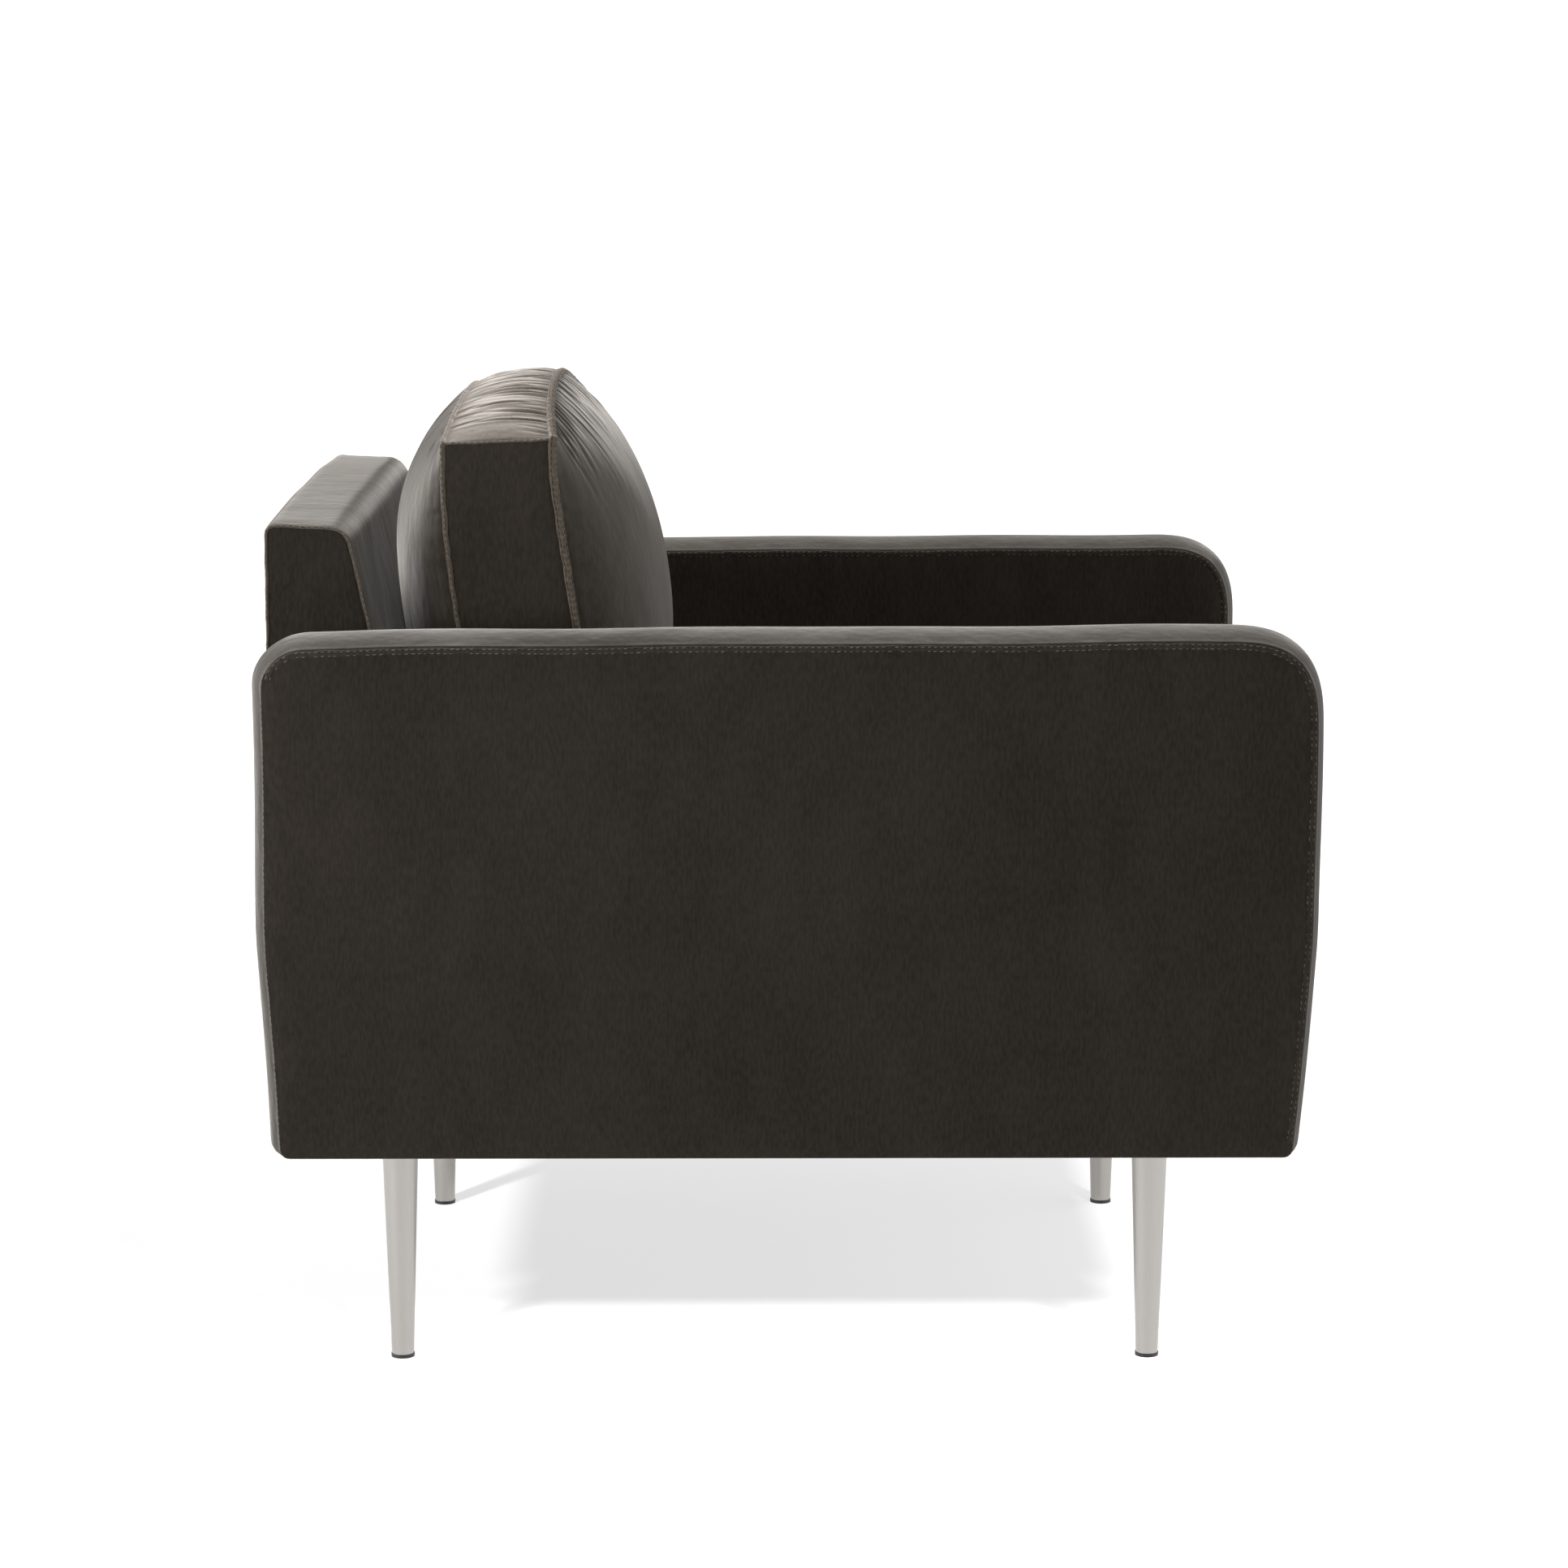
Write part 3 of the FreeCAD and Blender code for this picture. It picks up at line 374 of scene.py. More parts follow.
def stitch_run(path, normals, offset, lift, seed):
    """Points and faces of a row of stitches beside a path; each is a small tapered bead of thread."""
    rng = np.random.default_rng(seed)
    run, along, side = frame_along(path, normals)
    places = np.arange(STITCH_PITCH / 2, run[-1] - STITCH_PITCH / 2, STITCH_PITCH)
    places = places + rng.normal(0, 0.25 * MM, len(places))
    middle = at_distance(places, run, path)
    forward, up, over = [unit(at_distance(places, run, values)) for values in (along, normals, side)]
    sunk = np.maximum(rng.normal(0.1, 0.3, (len(places), 1)), 0) * STITCH_RADIUS * 2
    middle = middle + over * offset + up * (lift - sunk)
    forward = unit(forward + over * rng.normal(0.12, 0.06, (len(places), 1)))
    rings = ((-0.5, 0.25), (-0.28, 1.0), (0.28, 1.0), (0.5, 0.25))
    turns = np.linspace(0, 2 * np.pi, 6, endpoint=False)
    points = []
    for share, swell in rings:
        for turn in turns:
            radial = over * math.cos(turn) + up * math.sin(turn)
            points.append(middle + forward * share * STITCH_LENGTH + radial * STITCH_RADIUS * swell)
    points = np.stack(points, axis=1)
    faces = []
    ring_size = len(turns)
    per_stitch = ring_size * len(rings)
    for number in range(len(places)):
        start = number * per_stitch
        faces.extend(tube_faces(start, len(rings), ring_size))
        faces.append(tuple(start + k for k in reversed(range(ring_size))))
        faces.append(tuple(start + per_stitch - ring_size + k for k in range(ring_size)))
    return points.reshape(-1, 3), faces


def tube_faces(start, rings, size):
    """The faces of a tube of rings, each of size points, numbered from start."""
    faces = []
    for ring in range(rings - 1):
        for k in range(size):
            a = start + ring * size + k
            b = start + ring * size + (k + 1) % size
            faces.append((a, b, b + size, a + size))
    return faces


def joined(batches):
    """Several (points, faces) as one."""
    points, faces, start = [], [], 0
    for batch_points, batch_faces in batches:
        points.append(batch_points)
        faces.extend(tuple(index + start for index in face) for face in batch_faces)
        start += len(batch_points)
    return np.vstack(points), faces


def topstitched(name, body, seams, width=BAND_WIDTH, height=BAND_HEIGHT, rope=0.2, material=BAND):
    """A felled band with a row of stitches in each of its grooves, along each (path, normals) seam."""
    bands, stitches = [], []
    for k, (path, normals) in enumerate(seams):
        bands.append(seam_band(path, normals, width, height, FELLED, rope, seed=k))
        for row, share in enumerate((-0.64, 0.64)):
            stitches.append(stitch_run(path, normals, share * width / 2, 0.42 * height, 10 * k + row))
    sewn(f"{name}_seam_band", body, bands, material)
    sewn(f"{name}_stitches", body, stitches, THREAD)


def welted(name, body, seams, width=3.0 * MM, height=1.3 * MM, rope=0.3, material=BAND):
    """A fine raised edge seam, with the stitches showing along its crest."""
    bands, stitches = [], []
    for k, (path, normals) in enumerate(seams):
        bands.append(seam_band(path, normals, width, height, WELT, rope, seed=20 + k))
        stitches.append(stitch_run(path, normals, 0.12 * width, 0.9 * height, 30 + k))
    sewn(f"{name}_welt", body, bands, material)
    sewn(f"{name}_welt_stitches", body, stitches, THREAD)


def sewn(name, body, batches, material):
    upholster(add_mesh(name, *joined(batches), material), body)


def upholster(piece, body):
    """Puts a velvet piece on its body."""
    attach(piece, body)


# ---- padded slabs


SOFT_EDGE = 9 * MM
OUTLINE_STEP = 2.5 * MM
EDGE_SEAM_TURN = math.radians(50)

# Rings across half a panel, as shares of its outline, closest near the border.
PANEL_RINGS = [0.0, 0.3, 0.55, 0.72, 0.82, 0.89, 0.92, 0.94]
PANEL_RINGS += [0.955, 0.966, 0.975, 0.982, 0.988, 0.993, 0.997]


class Slab:
    """An upholstered slab: a side outline in Y-Z, two flat panels and a crowned boxing strip between them.

    edge is the roundness where boxing meets panel, crown how far the boxing swells (above, in front and
    behind), and swell how far the panels do. shift(points) bends the finished points a little, to take the
    stiffness out, and pucker is the depth of the pulls along the stitching.
    """

    def __init__(self, name, outline, centre, x_span, edge, crown, swell, shift=None, pucker=0.0):
        self.name = name
        self.outline = outline
        self.centre = np.array(centre)
        self.x_span = x_span
        self.edge = edge
        self.swell = swell
        self.shift = shift or (lambda points: points)
        self.pucker = pucker
        self.normals = outward(outline)
        above, ahead, behind = crown
        facing = self.normals
        self.crown = above * np.maximum(facing[:, 1], 0) ** 2
        self.crown += ahead * np.maximum(-facing[:, 0], 0) ** 2 + behind * np.maximum(facing[:, 0], 0) ** 2

    def ring(self, x, inset, shrink=1.0):
        """The outline at one x, drawn in by inset and then scaled towards the centre."""
        flat = self.outline - self.normals * np.reshape(inset, (-1, 1))
        flat = self.centre + (flat - self.centre) * shrink
        return np.column_stack([np.full(len(flat), x), flat])

    def panel_x(self, side, depth):
        """The x of a panel's surface at a depth in from its edge; side is -1 for the low x face."""
        rim = self.x_span[0] if side < 0 else self.x_span[1]
        return rim - side * self.swell * np.exp(-np.maximum(depth, 0) / SOFT_EDGE)

    def puckers(self, side, depth):
        """Short pulls that run in from the stitching, square to the border."""
        run = np.arange(len(self.outline)) * OUTLINE_STEP
        pulls = wave(run, (6.1 * MM, 8.3 * MM, 13.7 * MM, 31 * MM), 60 + side) * self.pucker
        return -side * pulls * np.exp(-((depth - 4 * MM) / (9 * MM)) ** 2)

    def depth(self, ring):
        """How far each point of a ring lies inside the panel's border."""
        border = self.outline - self.normals * self.edge
        gaps = np.linalg.norm(ring[:, None, 1:] - border[None], axis=2)
        return gaps.min(axis=1)

    def rings(self):
        """Every ring from the middle of the low panel, over the boxing, to the middle of the high panel."""
        found = []

        def panel(side, order):
            for shrink in order:
                ring = self.ring(0, self.edge, shrink)
                depth = self.depth(ring)
                ring[:, 0] = self.panel_x(side, depth) + self.puckers(side, depth)
                found.append(ring)

        panel(-1, PANEL_RINGS)
        low, high = self.x_span
        low += self.swell
        high -= self.swell
        corner = np.radians([0, 18, 36, 54, 72])
        for angle in corner:
            inset = self.edge * (1 - math.sin(angle))
            found.append(self.ring(low + self.edge * (1 - math.cos(angle)), inset))
        for share in np.linspace(0, 1, 17):
            x = low + self.edge + share * (high - low - 2 * self.edge)
            found.append(self.ring(x, -self.crown * 4 * share * (1 - share)))
        for angle in corner[::-1]:
            inset = self.edge * (1 - math.sin(angle))
            found.append(self.ring(high - self.edge * (1 - math.cos(angle)), inset))
        panel(1, PANEL_RINGS[::-1])
        return found

    def build(self, nodes, fill):
        """Makes the slab, fixed to the frame, in place of its CAD nodes."""
        rings = self.rings()
        count = len(self.outline)
        first, last = rings[0][:1], rings[-1][:1]
        points = np.vstack([first, *rings[1:-1], last])
        faces = []
        start = 1
        for k in range(count):
            faces.append((0, start + (k + 1) % count, start + k))
        faces.extend(tube_faces(start, len(rings) - 2, count))
        end = len(points) - 1
        for k in range(count):
            faces.append((end, end - count + k, end - count + (k + 1) % count))
        piece = add_mesh(self.name, self.shift(points), faces, VELVET)
        upholster(piece, "chair_frame")
        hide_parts(*nodes)

    def seam(self, side, keep, inset):
        """A seam line on a panel, inset from the outline, as (path, normals)."""
        ring = self.ring(0, inset)
        ring[:, 0] = self.panel_x(side, inset - self.edge)
        normals = np.tile([float(side), 0, 0], (len(ring), 1))
        return self.stretch(ring, normals, keep)

    def edge_seam(self, side, keep):
        """A seam line on the rounded edge between panel and boxing, as (path, normals)."""
        turn = EDGE_SEAM_TURN
        rim = self.x_span[0] + self.swell if side < 0 else self.x_span[1] - self.swell
        x = rim - side * self.edge * (1 - math.cos(turn))
        ring = self.ring(x, self.edge * (1 - math.sin(turn)))
        sideways = np.full(len(ring), side * math.cos(turn))
        normals = np.column_stack([sideways, self.normals * math.sin(turn)])
        return self.stretch(ring, normals, keep)

    def stretch(self, ring, normals, keep):
        """The part of a closed line that keep(ring) picks, as (path, normals)."""
        chosen = keep(ring)
        ring = self.shift(ring)
        both = np.hstack([ring, normals])[chosen]
        jump = np.argmax(np.linalg.norm(np.roll(both[:, :3], -1, axis=0) - both[:, :3], axis=1))
        both = np.roll(both, -(jump + 1), axis=0)
        return resampled(both[:, :3], both[:, 3:])


def span_of(*nodes):
    """The lowest and highest corners over several CAD nodes."""
    boxes = [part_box(node) for node in nodes]
    low = np.min([np.array(box[0]) for box in boxes], axis=0)
    high = np.max([np.array(box[1]) for box in boxes], axis=0)
    return low, high


# ---- arms

ARM_FRONT_RADIUS = 76 * MM
ARM_FRONT_FULLNESS = 3
ARM_REAR_RADIUS = 34 * MM
ARM_FOOT_RADIUS = 8 * MM
ARM_FRONT_TAPER = 15 * MM
ARM_REAR_TAPER = 9 * MM
ARM_KNEE = 180 * MM
ARM_CROWN = (7.3 * MM, 8.5 * MM, 11.5 * MM)
ARM_SWELL = 3.5 * MM
ARM_EDGE = 3 * MM
ARM_PUCKER = 0.35 * MM
ARM_OUTER_SWELL = 2 * MM


def arm(side_name):
    """One arm with its panels, boxing and topstitched edges."""
    body = "chair_frame"
    name = f"{side_name}_arm"
    nodes = [f"{name}_outer_cover", f"{name}_inner_cover", f"{name}_boxing", f"{name}_foam"]
    low, high = span_of(*nodes)
    front, rear = low[1] + ARM_CROWN[1] + 1.5 * MM, high[1] - ARM_CROWN[2] - 1 * MM
    foot, top = low[2] + 0.5 * MM, high[2] - ARM_CROWN[0]
    corners = [
        (front + ARM_FRONT_TAPER, foot),
        (rear - ARM_REAR_TAPER, foot),
        (rear, foot + ARM_KNEE),
        (rear, top),
        (front, top),
        (front, foot + ARM_KNEE),
    ]
    radii = [ARM_FOOT_RADIUS, ARM_FOOT_RADIUS, 0.5, ARM_REAR_RADIUS, ARM_FRONT_RADIUS, 0.5]
    outline = rounded_outline(corners, radii, OUTLINE_STEP, [2, 2, 2, 2, ARM_FRONT_FULLNESS, 2])
    centre = ((front + rear) / 2, (foot + top) / 2)
    seed = 3 if side_name == "right" else 8

    def shift(points):
        """The top rises slightly to the front and wanders by about a millimetre."""
        _, y, z = points.T
        share = np.clip((z - foot) / (top - foot), 0, 1) ** 3
        lift = -0.0052 * y + 0.9 * MM * wave(y, (0.43, 0.29, 0.19), seed)
        lift = lift - 3 * MM * np.clip((y - rear + 0.13) / 0.13, 0, 1) ** 2
        lean = 0.7 * MM * wave(z, (0.31, 0.23), seed + 1)
        moved = points.copy()
        moved[:, 2] += share * lift
        moved[:, 1] += lean * np.clip(np.abs(y) / rear, 0, 1) ** 4
        return moved

    if side_name == "left":
        x_span = (low[0], high[0] + ARM_OUTER_SWELL)
    else:
        x_span = (low[0] - ARM_OUTER_SWELL, high[0])
    padding = (ARM_EDGE, ARM_CROWN, ARM_SWELL)
    slab = Slab(f"{name}_upholstery", outline, centre, x_span, *padding, shift, ARM_PUCKER)
    slab.build(nodes, fill=0.9)
    join = top - ARM_REAR_RADIUS * 0.75

    def felled(ring):
        """The stretch with the felled band: over the top and down the front."""
        lowest = ring[:, 2] < foot + 12 * MM
        behind = (ring[:, 1] > 0) & (ring[:, 2] < join)
        return ~(lowest | behind)

    def plain(ring):
        """The rest of the rear edge, which has only a plain seam."""
        return (ring[:, 1] > 0) & (ring[:, 2] < join + 6 * MM) & (ring[:, 2] > foot + 12 * MM)

    topstitched(name, body, [slab.seam(side, felled, 4.4 * MM) for side in (-1, 1)], 5.4 * MM, rope=0.08)
    welted(name, body, [slab.edge_seam(side, plain) for side in (-1, 1)], 1.8 * MM, 0.5 * MM)


# ---- back frame

BACK_CORNER = 20 * MM
BACK_EDGE = 2.5 * MM
BACK_CROWN = (2.5 * MM, 3 * MM, 2 * MM)
BACK_SWELL = 1.2 * MM
BACK_PUCKER = 0.12 * MM
BACK_RAKE = math.radians(12)


def back_frame():
    """The upholstered back between the arms: a wedge, raked in front, that reaches down behind the seat."""
    nodes = ["back_foam", "back_inside_cover", "back_outside_cover"]
    nodes += ["back_left_gusset", "back_right_gusset"]
    low, high = span_of(*nodes)
    inside_low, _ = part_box("back_inside_cover")
    rear = high[1] - 2 * MM
    top = high[2] - 1.5 * MM
    face_low = inside_low[1]
    front_top = face_low + (high[2] - inside_low[2]) * math.tan(BACK_RAKE)
    corners = [
        (rear - 34 * MM, low[2] + 0.5 * MM),
        (rear, low[2] + 0.5 * MM),
        (rear, top),
        (front_top, top - 3 * MM),
        (face_low, inside_low[2]),
    ]
    outline = rounded_outline(corners, [4 * MM, 4 * MM, 9 * MM, BACK_CORNER, 6 * MM], OUTLINE_STEP)
    centre = (rear - 45 * MM, low[2] + 0.35)

    def shift(points):
        """The top settles a little to one side and wanders by under a millimetre."""
        x, _, z = points.T
        share = np.clip((z - low[2]) / (top - low[2]), 0, 1) ** 3
        settle = 8 * MM * x - 1.5 * MM * (x / high[0]) ** 2
        moved = points.copy()
        moved[:, 2] += share * (settle + 0.8 * MM * wave(x, (0.37, 0.22), 21))
        return moved

    x_span = (low[0] - 0.5 * MM, high[0] + 0.5 * MM)
    padding = (BACK_EDGE, BACK_CROWN, BACK_SWELL)
    slab = Slab("back_upholstery", outline, centre, x_span, *padding, shift, BACK_PUCKER)
    slab.build(nodes, fill=0.85)

    def above_arms(ring):
        return ring[:, 2] > low[2] + 0.3

    seams = [slab.seam(side, above_arms, 1.6 * MM) for side in (-1, 1)]
    welted("back", "chair_frame", seams, material=LIT_SEAM_VELVET)


# ---- front rail and deck


def front_rail():
    """The padded cover of the front rail, under the seat cushion."""
    nodes = ["front_rail_cover", "front_rail_foam"]
    low, high = span_of(*nodes)
    behind = high[1] + 8 * MM
    corners = [
        (low[1] + 2 * MM, low[2] + 0.5 * MM),
        (behind, low[2] + 0.5 * MM),
        (behind, high[2] - 0.5 * MM),
        (low[1] + 1 * MM, high[2] - 0.5 * MM),
    ]
    outline = rounded_outline(corners, [3 * MM, 2 * MM, 2 * MM, 9 * MM], OUTLINE_STEP)
    centre = ((low[1] + behind) / 2, (low[2] + high[2]) / 2)
    x_span = (low[0], high[0])
    slab = Slab("front_rail_upholstery", outline, centre, x_span, 2 * MM, (0, 1 * MM, 0), 0.5 * MM)
    slab.build(nodes, fill=0.9)


DECK_SAG = 0.6 * MM
# Shares of the CAD sheet's width and thickness.
SHEET_RIM = 0.06
SHEET_THICKNESS = 0.35


def taut_sheet(name, node, slot, sag, seed):
    """A tacked-down cloth in place of a flat CAD sheet, pulled into shallow hollows."""
    low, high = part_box(node)
    across = np.linspace(low[0], high[0], 90)
    along = np.linspace(low[1], high[1], 110)
    x, y = np.meshgrid(across, along, indexing="ij")
    u = (x - low[0]) / (high[0] - low[0])
    v = (y - low[1]) / (high[1] - low[1])
    rim = np.minimum(1, np.minimum.reduce([u, 1 - u, v, 1 - v]) / SHEET_RIM)
    hollow = wave(x, (0.115, 0.21), seed) * wave(y, (0.16, 0.33), seed + 1)
    z = high[2] - sag * rim * (0.5 + 0.5 * hollow)
    thick = SHEET_THICKNESS * (high[2] - low[2])
    top = np.stack([x, y, z], axis=-1).reshape(-1, 3)
    bottom = top - [0, 0, thick]
    rows, columns = x.shape
    faces = []
    size = rows * columns
    for i in range(rows - 1):
        for j in range(columns - 1):
            a = i * columns + j
            quad = (a, a + columns, a + columns + 1, a + 1)
            faces.append(quad)
            faces.append(tuple(index + size for index in reversed(quad)))
    border = border_of(np.arange(size).reshape(rows, columns))
    for a, b in zip(border, border[1:] + border[:1]):
        faces.append((b, a, a + size, b + size))
    piece = add_mesh(name, np.vstack([top, bottom]), faces, FINISHES[slot])
    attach(piece, "chair_frame")
    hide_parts(node)
    flat = (high[0] - low[0], high[1] - low[1])
    return piece, flat


# ---- loose cushions

# A cube grid's parameter beyond this lies on the cube's own side.
ON_SIDE = 0.999
CLOTH_PRESSURE = 4.0
CLOTH_CAP = 7 * MM
CLOTH_STEPS = 20
ZIP_DEPTH = 2 * MM


def cube_grid(counts):
    """A welded cube of grids: its parameters from -1 to 1, its faces, and each side's index grid."""
    axes = [np.linspace(-1, 1, count + 1) for count in counts]
    index, params, sides, faces = {}, [], {}, []
    for axis in range(3):
        first, second = [k for k in range(3) if k != axis]
        for sign in (-1, 1):
            grid = np.zeros((counts[first] + 1, counts[second] + 1), int)
            for i, a in enumerate(axes[first]):
                for j, b in enumerate(axes[second]):
                    key = [0, 0, 0]
                    key[axis] = 0 if sign < 0 else counts[axis]
                    key[first], key[second] = i, j
                    key = tuple(key)
                    if key not in index:
                        index[key] = len(params)
                        params.append([axes[k][key[k]] for k in range(3)])
                    grid[i, j] = index[key]
            sides[(axis, sign)] = grid
            forward = (sign > 0) == (axis != 1)
            for i in range(counts[first]):
                for j in range(counts[second]):
                    quad = (grid[i, j], grid[i + 1, j], grid[i + 1, j + 1], grid[i, j + 1])
                    faces.append(quad if forward else quad[::-1])
    return np.array(params), [tuple(int(k) for k in face) for face in faces], sides


def pillow(share, power=2.7, root=0.68):
    """The height of an inflated panel across its width: steep at its seams and flat in the middle."""
    return np.maximum(0, 1 - np.abs(share) ** power) ** root


def creases(across, along, places, seed, reach, depth, width, drift=0.1):
    """Gathers: narrow folds that start at a seam, where along is 0, and run away from it."""
    rng = np.random.default_rng(seed)
    total = np.zeros_like(across)
    for place in places:
        place = place + rng.normal(0, 2.5 * MM)
        own_reach = reach * rng.uniform(0.45, 1.25)
        own_depth = depth * rng.uniform(0.45, 1.1)
        own_width = width * rng.uniform(0.7, 1.4)
        line = place + along * rng.normal(0, drift) + 2 * MM * np.sin(along / 0.03 + rng.uniform(0, 6))
        spread = own_width * (1 + along / 0.07)
        fade = np.exp(-((along / own_reach) ** 2))
        offset = (across - line) / spread
        valley = np.exp(-np.sqrt(offset**2 + 0.04))
        shoulders = np.exp(-(((np.abs(offset) - 2.6) / 1.6) ** 2))
        total -= own_depth * fade * (valley - 0.42 * shoulders)
    return total


def uneven(low, high, spacing, seed):
    """Places from low to high at a spacing that varies."""
    rng = np.random.default_rng(seed)
    found, place = [], low
    while place < high:
        found.append(place)
        place += spacing * rng.uniform(0.55, 1.5)
    return found


def vertex_normals(points, faces):
    faces = np.array(faces)
    a, b, c, d = (points[faces[:, k]] for k in range(4))
    normal = np.cross(c - a, d - b)
    total = np.zeros_like(points)
    for k in range(4):
        np.add.at(total, faces[:, k], normal)
    return unit(total)


def inflate(points, faces, pinned):
    """Swells a closed skin with Cloth, and returns each point's move, none over CLOTH_CAP."""
    skin = add_mesh("cloth_trial", points, faces, VELVET)
    pins = skin.vertex_groups.new(name="seam")
    pins.add([int(k) for k in pinned], 0.9, "REPLACE")
    modifier = skin.modifiers.new("cloth", "CLOTH")
    settings = modifier.settings
    settings.quality = 5
    settings.mass = 0.3
    settings.use_pressure = True
    settings.uniform_pressure_force = CLOTH_PRESSURE
    settings.effector_weights.gravity = 0
    settings.vertex_group_mass = "seam"
    settings.tension_stiffness = 25
    settings.compression_stiffness = 12
    settings.bending_stiffness = 0.6
    modifier.collision_settings.use_collision = False
    modifier.point_cache.frame_start = 1
    modifier.point_cache.frame_end = CLOTH_STEPS
    scene = bpy.context.scene
    for step in range(1, CLOTH_STEPS + 1):
        scene.frame_set(step)
    shaped = skin.evaluated_get(bpy.context.evaluated_depsgraph_get())
    found = np.zeros(len(points) * 3, np.float32)
    shaped.data.vertices.foreach_get("co", found)
    bpy.data.objects.remove(skin)
    scene.frame_set(1)
    move = found.reshape(-1, 3) - points
    length = np.linalg.norm(move, axis=1, keepdims=True)
    return move * np.minimum(1, CLOTH_CAP / np.maximum(length, 1e-9))


def spread_move(move, coarse_sides, fine_sides, fine_count):
    """Carries a move from a coarse cube grid to a fine one."""
    total = np.zeros((fine_count, 3))
    for side, coarse in coarse_sides.items():
        fine = fine_sides[side]
        rows = np.linspace(0, coarse.shape[0] - 1, fine.shape[0])
        columns = np.linspace(0, coarse.shape[1] - 1, fine.shape[1])
        field = move[coarse]
        i = np.minimum(rows.astype(int), coarse.shape[0] - 2)
        j = np.minimum(columns.astype(int), coarse.shape[1] - 2)
        a = (rows - i)[:, None, None]
        b = (columns - j)[None, :, None]
        low = field[i][:, j] * (1 - b) + field[i][:, j + 1] * b
        high = field[i + 1][:, j] * (1 - b) + field[i + 1][:, j + 1] * b
        total[fine] = low * (1 - a) + high * a
    return total


class Cushion:
    """A loose box cushion, made on a cube grid and swelled on a coarser one.

    shape(params) gives its smooth skin, detail(params, points) its folds along the normal, and
    limit(points) keeps it clear of its neighbours.
    """

    def __init__(self, name, body, shape, detail, limit, coarse, fine, painted_light_top=None):
        self.name = name
        self.body = body
        self.shape = shape
        self.detail = detail
        self.limit = limit
        self.coarse = coarse
        self.fine = fine
        self.painted_light_top = painted_light_top

    def build(self, nodes, fill):
        """Makes the cushion in place of its CAD nodes."""
        params, faces, sides = cube_grid(self.fine)
        points = self.shape(params)
        rough_params, rough_faces, rough_sides = cube_grid(self.coarse)
        edges = np.sum(np.abs(rough_params) > ON_SIDE, axis=1) >= 2
        rough = self.shape(rough_params)
        move = inflate(rough, rough_faces, np.flatnonzero(edges))
        points = points + spread_move(move, rough_sides, sides, len(points))
        normals = vertex_normals(points, faces)
        points = points + normals * self.detail(params, points)[:, None]
        points = self.limit(points)
        self.sides, self.points = sides, points
        self.normals = vertex_normals(points, faces)
        # The cushion's panels take the lighter copy of the velvet: painted light.
        piece = add_mesh(self.name, points, faces, PAINTED_LIGHT_CUSHION)
        # The faces on top take the much lighter copy of the velvet: painted light on the cushion's top.
        if self.painted_light_top:
            piece.data.materials.append(self.painted_light_top)
            on_top = params[:, 2] > ON_SIDE
            for polygon in piece.data.polygons:
                polygon.material_index = int(on_top[list(polygon.vertices)].all())
        upholster(piece, self.body)
        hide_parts(*nodes)

    def seam_loop(self, axis, sign):
        """The border of one side of the cushion as (path, normals)."""
        grid = self.sides[(axis, sign)]
        return self.line([*border_of(grid), grid[0, 0]])

    def line(self, indices):
        """A line through points of the skin as (path, normals)."""
        return resampled(self.points[indices], self.normals[indices])


# ---- back cushion

LEAN = math.radians(8.5)
BACK_HALF_WIDTH = 294 * MM
BACK_SEAM_END = 157 * MM
BACK_SEAM_RISE = 30 * MM
FRONT_SEAM = -35 * MM
REAR_SEAM = 62 * MM
FRONT_SWELL = 70 * MM
REAR_SWELL = 64 * MM


